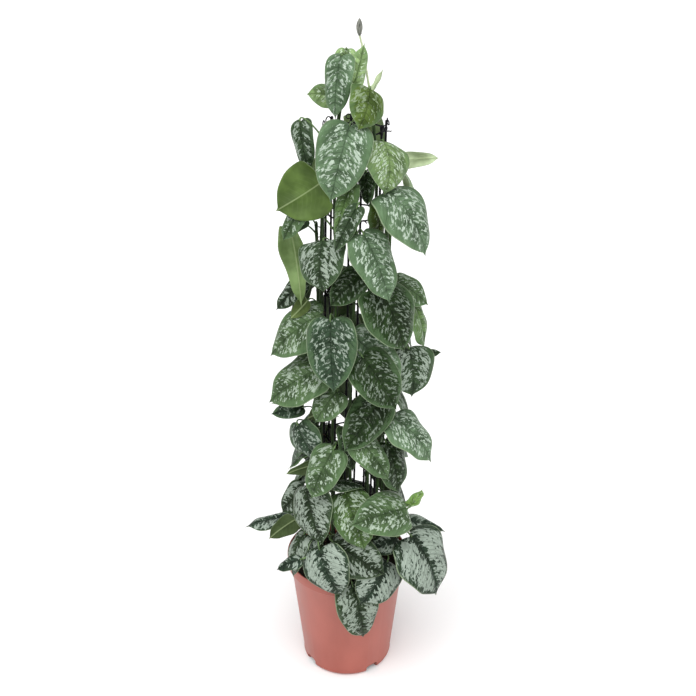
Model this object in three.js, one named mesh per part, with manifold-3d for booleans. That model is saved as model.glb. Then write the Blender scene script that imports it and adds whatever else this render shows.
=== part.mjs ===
// A satin pothos (Scindapsus pictus) trained up a wire cage in a nursery pot.
// Millimetres, +Z up, the front of the plant towards -Y, the origin in the middle of the pot's underside.
// Each leafy stem is one solid: a vine standing in the soil with its leaf stalks and blades grown on it.

import * as THREE from "three";
import { mergeVertices } from "three/addons/utils/BufferGeometryUtils.js";
import Module from "manifold-3d";

const wasm = await Module();
wasm.setup();

// Pot
const POT_HEIGHT = 249;
const RIM_RADIUS = 120;
const RIM_BAND = 22;
const WALL_TOP_RADIUS = 113;
const FOOT_RADIUS = 89;
const WALL = 2.8;
const FLOOR = 4;
const FOOT_CHAMFER = 5;
const LIP_WIDTH = 4.8;
const EDGE = 1;
const POT_SIDES = 32;
const NOTCH_WIDTH = 28;
const NOTCH_HEIGHT = 17;
const NOTCH_DEPTH = 50;
const NOTCH_AZIMUTHS = [35, 125, 215, 305];

// Soil
const SOIL_TOP = 212;
const SOIL_CROWN = 7;
const SOIL_SIDES = 20;
const SOIL_PLAY = 0.4;
const CLOD_HEIGHT = 1.4;
const SEAT_GAP = 0.3;

// Climbing cage: upright wires with hoops lying against their inner side
const UPRIGHTS = 8;
const FIRST_UPRIGHT = 10;
const CAGE_RADIUS = 50;
const WIRE_RADIUS = 2;
const HOOP_WIRE_RADIUS = 1.5;
const HOOP_RADIUS = CAGE_RADIUS - WIRE_RADIUS - SEAT_GAP - HOOP_WIRE_RADIUS;
const CAGE_FOOT = 126;
const CAGE_TOP = 1118;
const CAGE_LEAN = 0.016;
const HOOP_HEIGHTS = [376, 521, 666, 811, 961, 1104];
const HOOP_STEPS = 17;
const TIE_AZIMUTHS = [167, 290, 347];
const TIE_LENGTH = 11;
const TIED_FROM = 806;
const TIE_SIDES = 4;
const WIRE_SIDES = 6;
const HOOP_WIRE_SIDES = 4;
const WIRE_CLEARANCE = 0.5;

// Stems
const STEM_CIRCLE = 64;
const STEM_RADIUS = 3;
const STEM_FOOT = 156;
const STEM_SIDES = 5;
const STEM_STEP = 130;
const STEM_WANDER = 2;
const WANDER_TURN = 83;
const WANDER_REACH = 61;
const STRAIGHT_RISE = 20;
const WANDER_EASE = 60;
const STEM_END = 8;
const HOLE_RADIUS = 5.5;
const HOLE_DEPTH = 90;
const HOLE_SIDES = 6;
const GATHER_FROM = 1096;
const GATHER_RATE = 0.3;

// Leaf stalks
const STALK_RADIUS = 1.6;
const STALK_STEPS = 2;
const STALK_DROP = 12;
const STALK_SLOPE = 0.4;
const LOWEST_STALK = SOIL_TOP + 16;
const STALK_LEAVE_OUT = 0.25;
const STALK_LEAVE_UP = 0.4;
const STALK_ARRIVE = 0.35;

// Blades
const BLADE_THICKNESS = 0.9;
const BLADE_STATIONS = [0, 0.14, 0.32, 0.54, 0.78, 1];
const BLADE_CUP = 0.05;
const RIB_EASE = 1.15;
const BELLY = 0.395;
const FACE_OUT = 0.8;
const FACE_UP = 0.6;
// Half of a blade's outline for a leaf one unit long: the notch at the stalk, a shallow lobe, the belly and
// the tip.
const HALF_OUTLINE = new THREE.SplineCurve([
  new THREE.Vector2(0, 0),
  new THREE.Vector2(0.08, -0.05),
  new THREE.Vector2(0.2, -0.065),
  new THREE.Vector2(0.325, 0.01),
  new THREE.Vector2(0.395, 0.18),
  new THREE.Vector2(0.395, 0.39),
  new THREE.Vector2(0.345, 0.6),
  new THREE.Vector2(0.245, 0.8),
  new THREE.Vector2(0.105, 0.94),
  new THREE.Vector2(0, 1.03),
]);

// Leaves set by hand, one list for each stem of the front and the sides. A row holds the point where the
// stalk meets the blade, the tip, the roll about the line between them in degrees, the width ratio and the
// sag of the rib in radians.
const FRONT_LEAVES = [
  [[5, -84, 1132], [-25, -110, 1019], 5, 0.92, 0.6],
  [[7, -82, 1036], [-19, -99, 954], 28, 0.5, 0.5],
  [[15, -104, 1005], [-14, -109, 930], 14, 0.5, 0.4],
  [[25, -111, 962], [66, -130, 852], -13, 0.78, 0.6],
  [[25, -72, 878], [-27, -86, 826], 15, 0.9, 0.5],
  [[12, -82, 771], [91, -96, 686], 0, 0.85, 0.6],
  [[24, -109, 736], [82, -127, 649], -1, 0.95, 0.7],
  [[16, -98, 579], [74, -120, 500], -15, 0.75, 0.5],
  [[-3, -76, 579], [10, -84, 496], -30, 0.6, 0.4],
  [[-3, -99, 455], [32, -136, 356], -4, 0.9, 0.8],
  [[-30, -120, 363], [69, -138, 300], 8, 0.9, 1.1],
  [[11, -142, 275], [31, -144, 155], -8, 0.82, 0.9],
];
const FRONT_RIGHT_LEAVES = [
  [[7, -35, 1182], [25, -38, 1244], 22, 0.6, 0.3],
  [[41, 0, 1166], [58, 10, 1198], 40, 0.85, 0.2],
  [[36, -57, 1183], [19, -95, 1128], -11, 1.2, 0.9],
  [[58, -54, 1099], [61, -91, 1024], -1, 1.3, 1.3],
  [[32, -64, 1051], [34, -74, 999], 60, 0.8, 0.4],
  [[45, -56, 993], [50, -66, 932], 0, 0.75, 0.5],
  [[54, -90, 858], [96, -112, 756], 0, 1.15, 0.7],
  [[64, -84, 648], [-3, -122, 561], 15, 0.8, 0.4],
  [[95, -88, 347], [44, -104, 327], 5, 1, 0.7],
  [[77, -113, 310], [25, -154, 243], -7, 1.25, 1],
];
const FRONT_LEFT_LEAVES = [
  [[-7, -40, 1227], [-18, -58, 1138], 10, 0.66, 0.6],
  [[-1, -14, 1238], [-6, -22, 1179], 0, 0.75, 0.8],
  [[-77, -52, 981], [-103, -58, 932], -30, 0.8, 0.5],
  [[-14, -2, 1157], [-63, -8, 1163], -45, 1.15, 0.6],
  [[-40, -60, 1033], [-113, -64, 987], 150, 1.35, 1.1],
  [[-41, -75, 942], [-39, -109, 861], 5, 1.25, 1.2],
  [[-28, -108, 808], [-22, -144, 694], 0, 0.92, 0.5],
  [[-47, -80, 704], [-135, -84, 640], 10, 1.1, 0.6],
  [[-16, -94, 666], [-54, -114, 616], 5, 1.1, 0.9],
  [[-22, -70, 618], [-70, -68, 596], 150, 0.9, 0.6],
  [[-23, -108, 553], [-62, -132, 468], 10, 0.9, 0.6],
  [[-48, -62, 494], [-112, -66, 475], 120, 0.6, 0.4],
  [[-31, -82, 463], [30, -94, 463], -60, 0.9, 0.4],
  [[-74, -83, 457], [-45, -135, 369], 5, 1.05, 0.6],
  [[-82, -96, 361], [-106, -119, 284], 21, 0.9, 0.8],
  [[-86, -138, 330], [-129, -143, 311], 20, 0.8, 0.6],
  [[-54, -100, 361], [-94, -118, 323], 20, 0.9, 0.6],
  [[-50, -141, 362], [-7, -161, 271], 6, 1.15, 1],
];
const RIGHT_FRONT_LEAVES = [
  [[67, -70, 1022], [128, -95, 923], -5, 1.15, 0.9],
  [[81, -36, 850], [139, -44, 810], 15, 1.1, 0.6],
  [[109, -62, 734], [115, -84, 652], 30, 1.35, 0.9],
  [[43, -68, 613], [65, -78, 575], 130, 0.8, 0.5],
  [[83, -70, 599], [151, -96, 524], -5, 1.05, 0.9],
  [[74, -30, 548], [117, -42, 514], -20, 0.8, 0.5],
  [[71, -75, 549], [94, -94, 456], 1, 1, 0.6],
  [[114, -98, 422], [10, -154, 423], 10, 0.9, 0.8],
  [[118, -60, 396], [141, -62, 436], -15, 1, 0.4],
  [[121, -97, 357], [170, -125, 244], 3, 1.25, 1],
];
const LEFT_FRONT_LEAVES = [
  [[-76, -18, 1122], [-62, -36, 1044], -40, 0.62, 0.5],
  [[-67, -52, 817], [-97, -52, 787], 150, 0.75, 0.6],
  [[-46, -60, 801], [-133, -56, 720], 15, 1, 0.5],
  [[-66, -22, 717], [-94, -24, 690], 40, 0.8, 0.4],
  [[-93, -66, 580], [-47, -74, 507], 5, 1.05, 0.8],
  [[-67, -40, 513], [-109, -53, 478], 35, 0.8, 0.4],
  [[-82, -40, 428], [-123, -50, 378], -20, 1.1, 0.6],
  [[-97, -62, 370], [-148, -72, 333], 120, 0.8, 0.6],
];
const RIGHT_LEAVES = [
  [[85, -5, 1052], [149, -30, 1064], -60, 0.5, 0.6],
  [[115, -29, 807], [138, -25, 720], 12, 0.95, 0.5],
  [[118, -12, 693], [170, -12, 701], 40, 0.5, 0.4],
  [[96, -34, 353], [187, -48, 332], -10, 0.7, 0.6],
];
const LEFT_LEAVES = [
  [[-70, -20, 956], [-110, -8, 902], 10, 0.9, 0.5],
  [[-94, -40, 949], [-78, -49, 815], 140, 0.42, 0.3],
  [[-76, -20, 843], [-123, -22, 791], -40, 0.7, 0.4],
  [[-86, -27, 643], [-142, -18, 603], 21, 0.8, 0.4],
  [[-81, -30, 597], [-138, -34, 585], -40, 0.7, 0.4],
  [[-91, -26, 347], [-196, -22, 324], 20, 0.7, 0.5],
];

// Leaves of the back, laid like shingles by a rule: their heights, how each hangs from its stem, and how far
// the draw of each may stray.
const SHINGLE = { baseRadius: 78, tipRadius: 118, drop: 98, side: 6, swing: 6, wide: 0.92, sag: 0.4 };
const SIDE_SHINGLE = { baseRadius: 74, tipRadius: 112, drop: 92, side: 4, swing: 4, wide: 0.9, sag: 0.3 };
const SKIRT = { baseRadius: 126, tipRadius: 164, drop: 70, side: 0, swing: 8, wide: 1.0, sag: 0.9 };
const BACK_STEMS = [
  { azimuth: 30, shingles: [368, 461, 554, 647, 740, 833, 1036], skirts: [286] },
  { azimuth: 60, shingles: [414, 507, 600, 693, 786, 874], skirts: [280] },
  { azimuth: 90, shingles: [368, 461, 554, 647, 740, 833, 1116], skirts: [288] },
  { azimuth: 120, shingles: [414, 507, 600, 693, 786, 874], skirts: [280] },
  { azimuth: 150, shingles: [368, 461, 554, 647, 740, 833, 1046], skirts: [286] },
];
const STRAY = { turn: 10, base: 3, drop: 0.12, tip: 4, roll: 16, wide: 0.12 };
const RIGHT_SHINGLES = [446, 541, 636, 786];
const LEFT_SHINGLES = [446, 541, 696, 786];

// The growing tip: a thin bare shoot above the cage that ends in a furled leaf.
const SHOOT_RADIUS = 1.3;
const SHOOT_SIDES = 4;
const SHOOT_STEPS = 7;
const SHOOT_ROOT = 5;
const BUD_SIDES = 6;
const SHOOT = [
  new THREE.Vector3(35, -24, 1181),
  new THREE.Vector3(26, -20, 1232),
  new THREE.Vector3(20, -18, 1257),
];
const BUD_PROFILE = [
  new THREE.Vector2(0, -2),
  new THREE.Vector2(2, 0),
  new THREE.Vector2(5.2, 8),
  new THREE.Vector2(4.4, 17),
  new THREE.Vector2(0, 26),
];

const MERGE_WITHIN = 1e-4;

const PLASTIC = new THREE.MeshStandardMaterial({ color: 0xc2796a, roughness: 0.5 });
const SOIL = new THREE.MeshStandardMaterial({ color: 0x3a2c22, roughness: 0.95 });
const COATED_WIRE = new THREE.MeshStandardMaterial({ color: 0x1c1e1f, roughness: 0.45 });
const FOLIAGE = new THREE.MeshStandardMaterial({ color: 0x5e7f69, roughness: 0.5 });

const UP = new THREE.Vector3(0, 0, 1);

// A closed three.js geometry as a manifold-3d solid.
function solidOf(geometry) {
  const bare = geometry.clone();
  bare.deleteAttribute("normal");
  bare.deleteAttribute("uv");
  const merged = mergeVertices(bare, MERGE_WITHIN);
  return new wasm.Manifold(
    new wasm.Mesh({
      numProp: 3,
      vertProperties: merged.getAttribute("position").array,
      triVerts: new Uint32Array(merged.index.array),
    }),
  );
}

// A manifold-3d solid as a three.js geometry.
function geometryOf(solid) {
  const mesh = solid.getMesh();
  const geometry = new THREE.BufferGeometry();
  geometry.setAttribute("position", new THREE.BufferAttribute(mesh.vertProperties, mesh.numProp));
  geometry.setIndex(new THREE.BufferAttribute(mesh.triVerts, 1));
  return geometry;
}

function join(solids) {
  return solids.reduce((sum, solid) => sum.add(solid));
}

function named(name, solid, material) {
  const mesh = new THREE.Mesh(geometryOf(solid), material.clone());
  mesh.name = name;
  return mesh;
}

// Repeatable random numbers from 0 to 1.
function seeded(seed) {
  let state = seed;
  return () => {
    state = (state * 16807) % 2147483647;
    return state / 2147483647;
  };
}

function onCircle(azimuth, radius, z, lean = 0) {
  const angle = THREE.MathUtils.degToRad(azimuth);
  return new THREE.Vector3(lean + radius * Math.cos(angle), radius * Math.sin(angle), z);
}

function leanAt(z) {
  return CAGE_LEAN * Math.max(0, z - CAGE_FOOT);
}

function polygon(radius, sides) {
  const corners = [];
  for (let i = 0; i < sides; i += 1) {
    const angle = (2 * Math.PI * i) / sides;
    corners.push(new THREE.Vector2(radius * Math.cos(angle), radius * Math.sin(angle)));
  }
  return new THREE.Shape(corners);
}

function tube(curve, radius, sides, steps) {
  return solidOf(new THREE.ExtrudeGeometry(polygon(radius, sides), { extrudePath: curve, steps }));
}

// ---- Pot and soil

function wallRadius(z) {
  return THREE.MathUtils.mapLinear(z, 0, POT_HEIGHT - RIM_BAND, FOOT_RADIUS, WALL_TOP_RADIUS);
}

function potSolid() {
  const bandFoot = POT_HEIGHT - RIM_BAND;
  const lip = RIM_RADIUS - LIP_WIDTH;
  const profile = [
    [0, 0],
    [FOOT_RADIUS - FOOT_CHAMFER, 0],
    [wallRadius(FOOT_CHAMFER), FOOT_CHAMFER],
    [WALL_TOP_RADIUS, bandFoot],
    [RIM_RADIUS, bandFoot + EDGE],
    [RIM_RADIUS, POT_HEIGHT - EDGE],
    [RIM_RADIUS - EDGE, POT_HEIGHT],
    [lip, POT_HEIGHT],
    [lip - EDGE / 2, bandFoot + 2 * EDGE],
    [WALL_TOP_RADIUS - WALL, bandFoot - 2 * EDGE],
    [wallRadius(FLOOR + FOOT_CHAMFER) - WALL, FLOOR + FOOT_CHAMFER],
    [FOOT_RADIUS - FOOT_CHAMFER - WALL, FLOOR],
    [0, FLOOR],
  ].map(([r, z]) => new THREE.Vector2(r, z));
  const lathe = new THREE.LatheGeometry(profile, POT_SIDES);
  lathe.rotateX(Math.PI / 2);
  return NOTCH_AZIMUTHS.reduce((pot, azimuth) => pot.subtract(notchSolid(azimuth)), solidOf(lathe));
}

// An arch that runs out through the corner between the pot's wall and its floor.
function notchSolid(azimuth) {
  const half = NOTCH_WIDTH / 2;
  const arch = new THREE.Shape();
  arch.moveTo(-half, -EDGE);
  arch.lineTo(half, -EDGE);
  arch.lineTo(half, NOTCH_HEIGHT / 2);
  arch.quadraticCurveTo(half, NOTCH_HEIGHT, half / 2, NOTCH_HEIGHT);
  arch.lineTo(-half / 2, NOTCH_HEIGHT);
  arch.quadraticCurveTo(-half, NOTCH_HEIGHT, -half, NOTCH_HEIGHT / 2);
  const settings = { depth: NOTCH_DEPTH, bevelEnabled: false, curveSegments: 2 };
  const geometry = new THREE.ExtrudeGeometry(arch, settings);
  geometry.rotateX(Math.PI / 2);
  geometry.translate(0, FOOT_RADIUS + NOTCH_DEPTH / 2, 0);
  geometry.rotateZ(THREE.MathUtils.degToRad(azimuth - 90));
  return solidOf(geometry);
}

// The potting mix, with a hole for each post and hollowed out behind the pot's drain notches.
function soilSolid(posts) {
  const insideWall = (z) => wallRadius(z) - WALL - SEAT_GAP - SOIL_PLAY;
  const crown = SOIL_TOP + SOIL_CROWN;
  const profile = [
    [0, FLOOR + SEAT_GAP],
    [insideWall(FLOOR) - FOOT_CHAMFER, FLOOR + SEAT_GAP],
    [insideWall(FLOOR + FOOT_CHAMFER), FLOOR + SEAT_GAP + FOOT_CHAMFER],
    [insideWall(SOIL_TOP) - SOIL_PLAY, SOIL_TOP - 4 * EDGE],
    [insideWall(SOIL_TOP) - 4 * EDGE, SOIL_TOP],
    [STEM_CIRCLE + 14, (SOIL_TOP + crown) / 2],
    [STEM_CIRCLE - 28, crown],
    [0, crown],
  ].map(([r, z]) => new THREE.Vector2(r, z));
  const lathe = new THREE.LatheGeometry(profile, SOIL_SIDES);
  lathe.rotateX(Math.PI / 2);
  const at = lathe.getAttribute("position");
  for (let i = 0; i < at.count; i += 1) {
    if (at.getZ(i) > SOIL_TOP + EDGE) at.setZ(i, at.getZ(i) + clod(at.getX(i), at.getY(i)));
  }
  const washedOut = NOTCH_AZIMUTHS.map((azimuth) => notchSolid(azimuth));
  return [...posts, ...washedOut].reduce((soil, hole) => soil.subtract(hole), solidOf(lathe));
}

// The lumps of the soil's top.
function clod(x, y) {
  const lumps = Math.sin(x / 7.3 + 1) * Math.cos(y / 6.1) + 0.8 * Math.sin(x / 17 - y / 11);
  return CLOD_HEIGHT * lumps;
}

function stemHole(azimuth) {
  const foot = stemPoint(azimuth, STEM_FOOT);
  const geometry = new THREE.CylinderGeometry(HOLE_RADIUS, HOLE_RADIUS, HOLE_DEPTH, HOLE_SIDES);
  geometry.rotateX(Math.PI / 2);
  geometry.translate(foot.x, foot.y, STEM_FOOT - SEAT_GAP + HOLE_DEPTH / 2);
  return solidOf(geometry);
}

// ---- Climbing cage

function uprightLine(i) {
  const azimuth = FIRST_UPRIGHT + (360 * i) / UPRIGHTS;
  const foot = onCircle(azimuth, CAGE_RADIUS, CAGE_FOOT);
  const top = onCircle(azimuth, CAGE_RADIUS, CAGE_TOP, leanAt(CAGE_TOP));
  return new THREE.LineCurve3(foot, top);
}

function uprightSolid(i) {
  return tube(uprightLine(i), WIRE_RADIUS, WIRE_SIDES, 1);
}

// The hole that an upright stands in: a wider tube along the same line.
function uprightHole(i) {
  const line = uprightLine(i);
  const below = line.getPoint(-SEAT_GAP / (CAGE_TOP - CAGE_FOOT));
  const above = line.getPoint((POT_HEIGHT - CAGE_FOOT) / (CAGE_TOP - CAGE_FOOT));
  return tube(new THREE.LineCurve3(below, above), WIRE_RADIUS + WIRE_CLEARANCE, WIRE_SIDES, 1);
}

function hoopSolid(z) {
  const geometry = new THREE.TorusGeometry(HOOP_RADIUS, HOOP_WIRE_RADIUS, HOOP_WIRE_SIDES, HOOP_STEPS);
  geometry.translate(leanAt(z), 0, z);
  const tails = z > TIED_FROM ? TIE_AZIMUTHS.map((azimuth) => tieTail(azimuth, z)) : [];
  return join([solidOf(geometry), ...tails]);
}

// The pointed end of a tie that sticks out between two uprights.
function tieTail(azimuth, z) {
  const geometry = new THREE.ConeGeometry(HOOP_WIRE_RADIUS * 0.9, TIE_LENGTH, TIE_SIDES);
  geometry.rotateZ(-Math.PI / 2);
  geometry.translate(HOOP_RADIUS + TIE_LENGTH / 2 - HOOP_WIRE_RADIUS / 2, 0, 0);
  geometry.rotateZ(THREE.MathUtils.degToRad(azimuth));
  geometry.translate(leanAt(z), 0, z);
  return solidOf(geometry);
}

// ---- Stems

// The line that a stem follows: straight up out of its hole, a little astray on the cage, then inwards.
function stemPoint(azimuth, z) {
  const climb = Math.max(0, z - SOIL_TOP - STRAIGHT_RISE);
  const stray = Math.min(1, climb / WANDER_EASE) * STEM_WANDER;
  const turn = azimuth + stray * Math.sin(climb / WANDER_TURN + azimuth);
  const gathered = Math.max(0, z - GATHER_FROM) * GATHER_RATE;
  const radius = STEM_CIRCLE + stray * Math.sin(climb / WANDER_REACH + azimuth / 2) - gathered;
  return onCircle(turn, radius, z, leanAt(z));
}

// The corners of a stem's tube, from its foot to its top.
function stemLine(azimuth, top) {
  const steps = Math.ceil((top - STEM_FOOT) / STEM_STEP);
  const corners = [];
  for (let i = 0; i <= steps; i += 1) {
    corners.push(stemPoint(azimuth, THREE.MathUtils.lerp(STEM_FOOT, top, i / steps)));
  }
  return corners;
}

// The middle of the tube between two of its corners, at a height.
function onLine(corners, z) {
  const next = corners.findIndex((corner) => corner.z >= z);
  const [below, above] = [corners[next - 1], corners[next]];
  return below.clone().lerp(above, (z - below.z) / (above.z - below.z));
}

function attachHeight(azimuth, base) {
  const stem = stemPoint(azimuth, base.z);
  const reach = Math.hypot(base.x - stem.x, base.y - stem.y);
  return Math.max(LOWEST_STALK, base.z - STALK_DROP - STALK_SLOPE * reach);
}

// ---- Leaves

// One point of a blade, lying along +Y from its notch with its upper face towards +Z.
function bladePoint(leaf, along, across) {
  const margin = HALF_OUTLINE.getPoint(along);
  const side = Math.abs(across);
  const rib = along ** RIB_EASE;
  const x = margin.x * across * leaf.length * leaf.wide;
  const y = (rib * (1 - side) + margin.y * side) * leaf.length;
  const z = -BLADE_CUP * leaf.length * (side * margin.x / BELLY) ** 2;
  const radius = leaf.length / leaf.sag;
  const angle = y / radius;
  return new THREE.Vector3(x, (radius + z) * Math.sin(angle), (radius + z) * Math.cos(angle) - radius);
}

// Stands a leaf between its two ends, with its upper face outwards and up, then rolls it about that line.
function placeLeaf([base, tip, roll, wide, sag]) {
  const from = new THREE.Vector3(...base);
  const chord = new THREE.Vector3(...tip).sub(from);
  const length = (chord.length() * sag) / 2 / Math.sin(sag / 2);
  const ahead = chord.clone().normalize();
  const outwards = new THREE.Vector3(from.x, from.y, 0).normalize();
  const face = outwards.multiplyScalar(FACE_OUT).addScaledVector(UP, FACE_UP);
  face.addScaledVector(ahead, -face.dot(ahead)).normalize();
  face.applyAxisAngle(ahead, THREE.MathUtils.degToRad(roll));
  const side = new THREE.Vector3().crossVectors(ahead, face);
  const turn = new THREE.Matrix4().makeBasis(side, ahead, face);
  const level = new THREE.Matrix4().makeRotationX(sag / 2);
  const matrix = new THREE.Matrix4().makeTranslation(from).multiply(turn).multiply(level);
  return { length, wide, sag, from, matrix };
}

// A leaf with its stalk as one sheet, three points to a row: from inside the stem along the stalk to the
// notch, then down the blade. The sheet is thickened into a plate, more at the stalk than at the blade.
function leafSolid(root, leaf) {
  const rows = [...stalkRows(root, leaf), ...bladeRows(leaf)];
  const sheet = new THREE.PlaneGeometry(2, rows.length - 1, 2, rows.length - 1);
  const thickness = rows.flatMap((row) => [row.thick, row.thick, row.thick]);
  sheet.setFromPoints(rows.flatMap((row) => row.points));
  sheet.setAttribute("thickness", new THREE.Float32BufferAttribute(thickness, 1));
  return solidOf(thicken(sheet));
}

function bladeRows(leaf) {
  return BLADE_STATIONS.slice(1).map((along) => ({
    points: [-1, 0, 1].map((across) => bladePoint(leaf, along, across).applyMatrix4(leaf.matrix)),
    thick: BLADE_THICKNESS,
  }));
}

// The stalk leaves the stem upwards and outwards and runs over into the line of the rib.
function stalkRows(root, leaf) {
  const reach = leaf.from.distanceTo(root);
  const outwards = new THREE.Vector3().subVectors(leaf.from, root).setZ(0).normalize();
  const leave = root.clone().addScaledVector(outwards, reach * STALK_LEAVE_OUT);
  leave.addScaledVector(UP, reach * STALK_LEAVE_UP);
  const rib = bladePoint(leaf, BLADE_STATIONS[1], 0).applyMatrix4(leaf.matrix).sub(leaf.from);
  const arrive = leaf.from.clone().addScaledVector(rib.normalize(), -reach * STALK_ARRIVE);
  const curve = new THREE.CubicBezierCurve3(root, leave, arrive, leaf.from);
  const side = new THREE.Vector3().setFromMatrixColumn(leaf.matrix, 0);
  const rows = [];
  let ahead = curve.getTangent(1);
  for (let i = STALK_STEPS; i >= 0; i -= 1) {
    const tangent = curve.getTangent(i / STALK_STEPS);
    side.applyQuaternion(new THREE.Quaternion().setFromUnitVectors(ahead, tangent));
    ahead = tangent;
    const middle = curve.getPoint(i / STALK_STEPS);
    const points = [-1, 0, 1].map((across) => middle.clone().addScaledVector(side, across * STALK_RADIUS));
    rows.unshift({ points, thick: 2 * STALK_RADIUS });
  }
  return rows;
}

// A closed plate from an open sheet: the sheet moved to both sides by half of the thickness that each point
// carries, with walls along its free edges. Both faces are split into the same triangles.
function thicken(sheet) {
  sheet.deleteAttribute("normal");
  sheet.deleteAttribute("uv");
  const merged = mergeVertices(sheet, MERGE_WITHIN);
  const faces = [];
  for (let i = 0; i < merged.index.count; i += 3) {
    const face = [0, 1, 2].map((k) => merged.index.getX(i + k));
    if (new Set(face).size === 3) faces.push(face);
  }
  merged.setIndex(faces.flat());
  merged.computeVertexNormals();
  const at = merged.getAttribute("position");
  const normal = merged.getAttribute("normal");
  const thickness = merged.getAttribute("thickness");
  const count = at.count;
  const points = [];
  for (const way of [0.5, -0.5]) {
    for (let i = 0; i < count; i += 1) {
      const offset = way * thickness.getX(i);
      points.push(at.getX(i) + offset * normal.getX(i));
      points.push(at.getY(i) + offset * normal.getY(i));
      points.push(at.getZ(i) + offset * normal.getZ(i));
    }
  }
  const edges = new Set(faces.flatMap(([a, b, c]) => [`${a} ${b}`, `${b} ${c}`, `${c} ${a}`]));
  const index = faces.flatMap(([a, b, c]) => [a, b, c, c + count, b + count, a + count]);
  for (const edge of edges) {
    const [a, b] = edge.split(" ").map(Number);
    if (!edges.has(`${b} ${a}`)) index.push(b, a, a + count, b, a + count, b + count);
  }
  const plate = new THREE.BufferGeometry();
  plate.setAttribute("position", new THREE.Float32BufferAttribute(points, 3));
  plate.setIndex(index);
  return plate;
}

// A leaf that hangs from a stem over the one below it, turned to one side of the stem or the other.
function shingledLeaf(azimuth, base, style, turnTo, random) {
  const at = azimuth + style.side * turnTo;
  const tipAt = at + style.swing * turnTo + STRAY.turn * (random() - 0.5);
  const from = onCircle(at, style.baseRadius + STRAY.base * random(), base, leanAt(base));
  const drop = style.drop * (1 + STRAY.drop * (random() - 0.5));
  const to = onCircle(tipAt, style.tipRadius + STRAY.tip * random(), base - drop, leanAt(base));
  const roll = STRAY.roll * (random() - 0.5);
  return [from.toArray(), to.toArray(), roll, style.wide - STRAY.wide * random(), style.sag];
}

function shingledLeaves(azimuth, heights, style, seed) {
  const random = seeded(seed);
  return heights.map((z, i) => shingledLeaf(azimuth, z, style, i % 2 ? 1 : -1, random));
}

const STEMS = [
  { name: "leafy_stem_front", azimuth: 270, rows: FRONT_LEAVES },
  { name: "leafy_stem_front_right", azimuth: 300, rows: FRONT_RIGHT_LEAVES, shoot: SHOOT },
  { name: "leafy_stem_front_left", azimuth: 240, rows: FRONT_LEFT_LEAVES },
  { name: "leafy_stem_right_front", azimuth: 330, rows: RIGHT_FRONT_LEAVES },
  { name: "leafy_stem_left_front", azimuth: 210, rows: LEFT_FRONT_LEAVES },
  {
    name: "leafy_stem_right",
    azimuth: 0,
    rows: [...RIGHT_LEAVES, ...shingledLeaves(6, RIGHT_SHINGLES, SIDE_SHINGLE, 31)],
  },
  {
    name: "leafy_stem_left",
    azimuth: 180,
    rows: [...LEFT_LEAVES, ...shingledLeaves(174, LEFT_SHINGLES, SIDE_SHINGLE, 32)],
  },
  ...BACK_STEMS.map(({ azimuth, shingles, skirts }, i) => ({
    name: `leafy_stem_back_${i + 1}`,
    azimuth,
    rows: [
      ...shingledLeaves(azimuth, shingles, SHINGLE, 101 + i),
      ...shingledLeaves(azimuth, skirts, SKIRT, 201 + i),
    ],
  })),
];

function leafyStem({ azimuth, rows, shoot }) {
  const leaves = rows.map(placeLeaf);
  const heights = leaves.map((leaf) => attachHeight(azimuth, leaf.from));
  const corners = stemLine(azimuth, Math.max(...heights) + STEM_END);
  const pieces = [tube(new THREE.CatmullRomCurve3(corners), STEM_RADIUS, STEM_SIDES, corners.length - 1)];
  leaves.forEach((leaf, i) => pieces.push(leafSolid(onLine(corners, heights[i]), leaf)));
  if (shoot) pieces.push(...shootSolids([onLine(corners, corners.at(-1).z - SHOOT_ROOT), ...shoot]));
  return join(pieces);
}

function shootSolids(path) {
  const curve = new THREE.CatmullRomCurve3(path);
  const bud = new THREE.LatheGeometry(BUD_PROFILE, BUD_SIDES);
  bud.rotateX(Math.PI / 2);
  bud.translate(...path.at(-1));
  return [tube(curve, SHOOT_RADIUS, SHOOT_SIDES, SHOOT_STEPS), solidOf(bud)];
}

// ---- The whole plant

function holes() {
  const wires = Array.from({ length: UPRIGHTS }, (_, i) => uprightHole(i));
  return [...wires, ...STEMS.map(({ azimuth }) => stemHole(azimuth))];
}

const plant = new THREE.Group();
plant.add(named("pot", potSolid(), PLASTIC));
plant.add(named("soil", soilSolid(holes()), SOIL));
for (let i = 0; i < UPRIGHTS; i += 1) {
  plant.add(named(`cage_upright_${i + 1}`, uprightSolid(i), COATED_WIRE));
}
HOOP_HEIGHTS.forEach((z, i) => plant.add(named(`cage_hoop_${i + 1}`, hoopSolid(z), COATED_WIRE)));
for (const stem of STEMS) {
  plant.add(named(stem.name, leafyStem(stem), FOLIAGE));
}

export default plant;
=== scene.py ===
"""A satin pothos trained up a wire cage in a nursery pot: its fine meshes and finishes.

Sizes are in millimetres until a piece is handed over, when it is scaled to metres. +Z is up and the front of
the plant faces -Y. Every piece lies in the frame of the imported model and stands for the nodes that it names.
"""

import logging
import math
from collections.abc import Callable, Iterable, Sequence
from dataclasses import dataclass, field
from enum import Enum

import bmesh
import bpy
from mathutils import Matrix, Quaternion, Vector, noise


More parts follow.
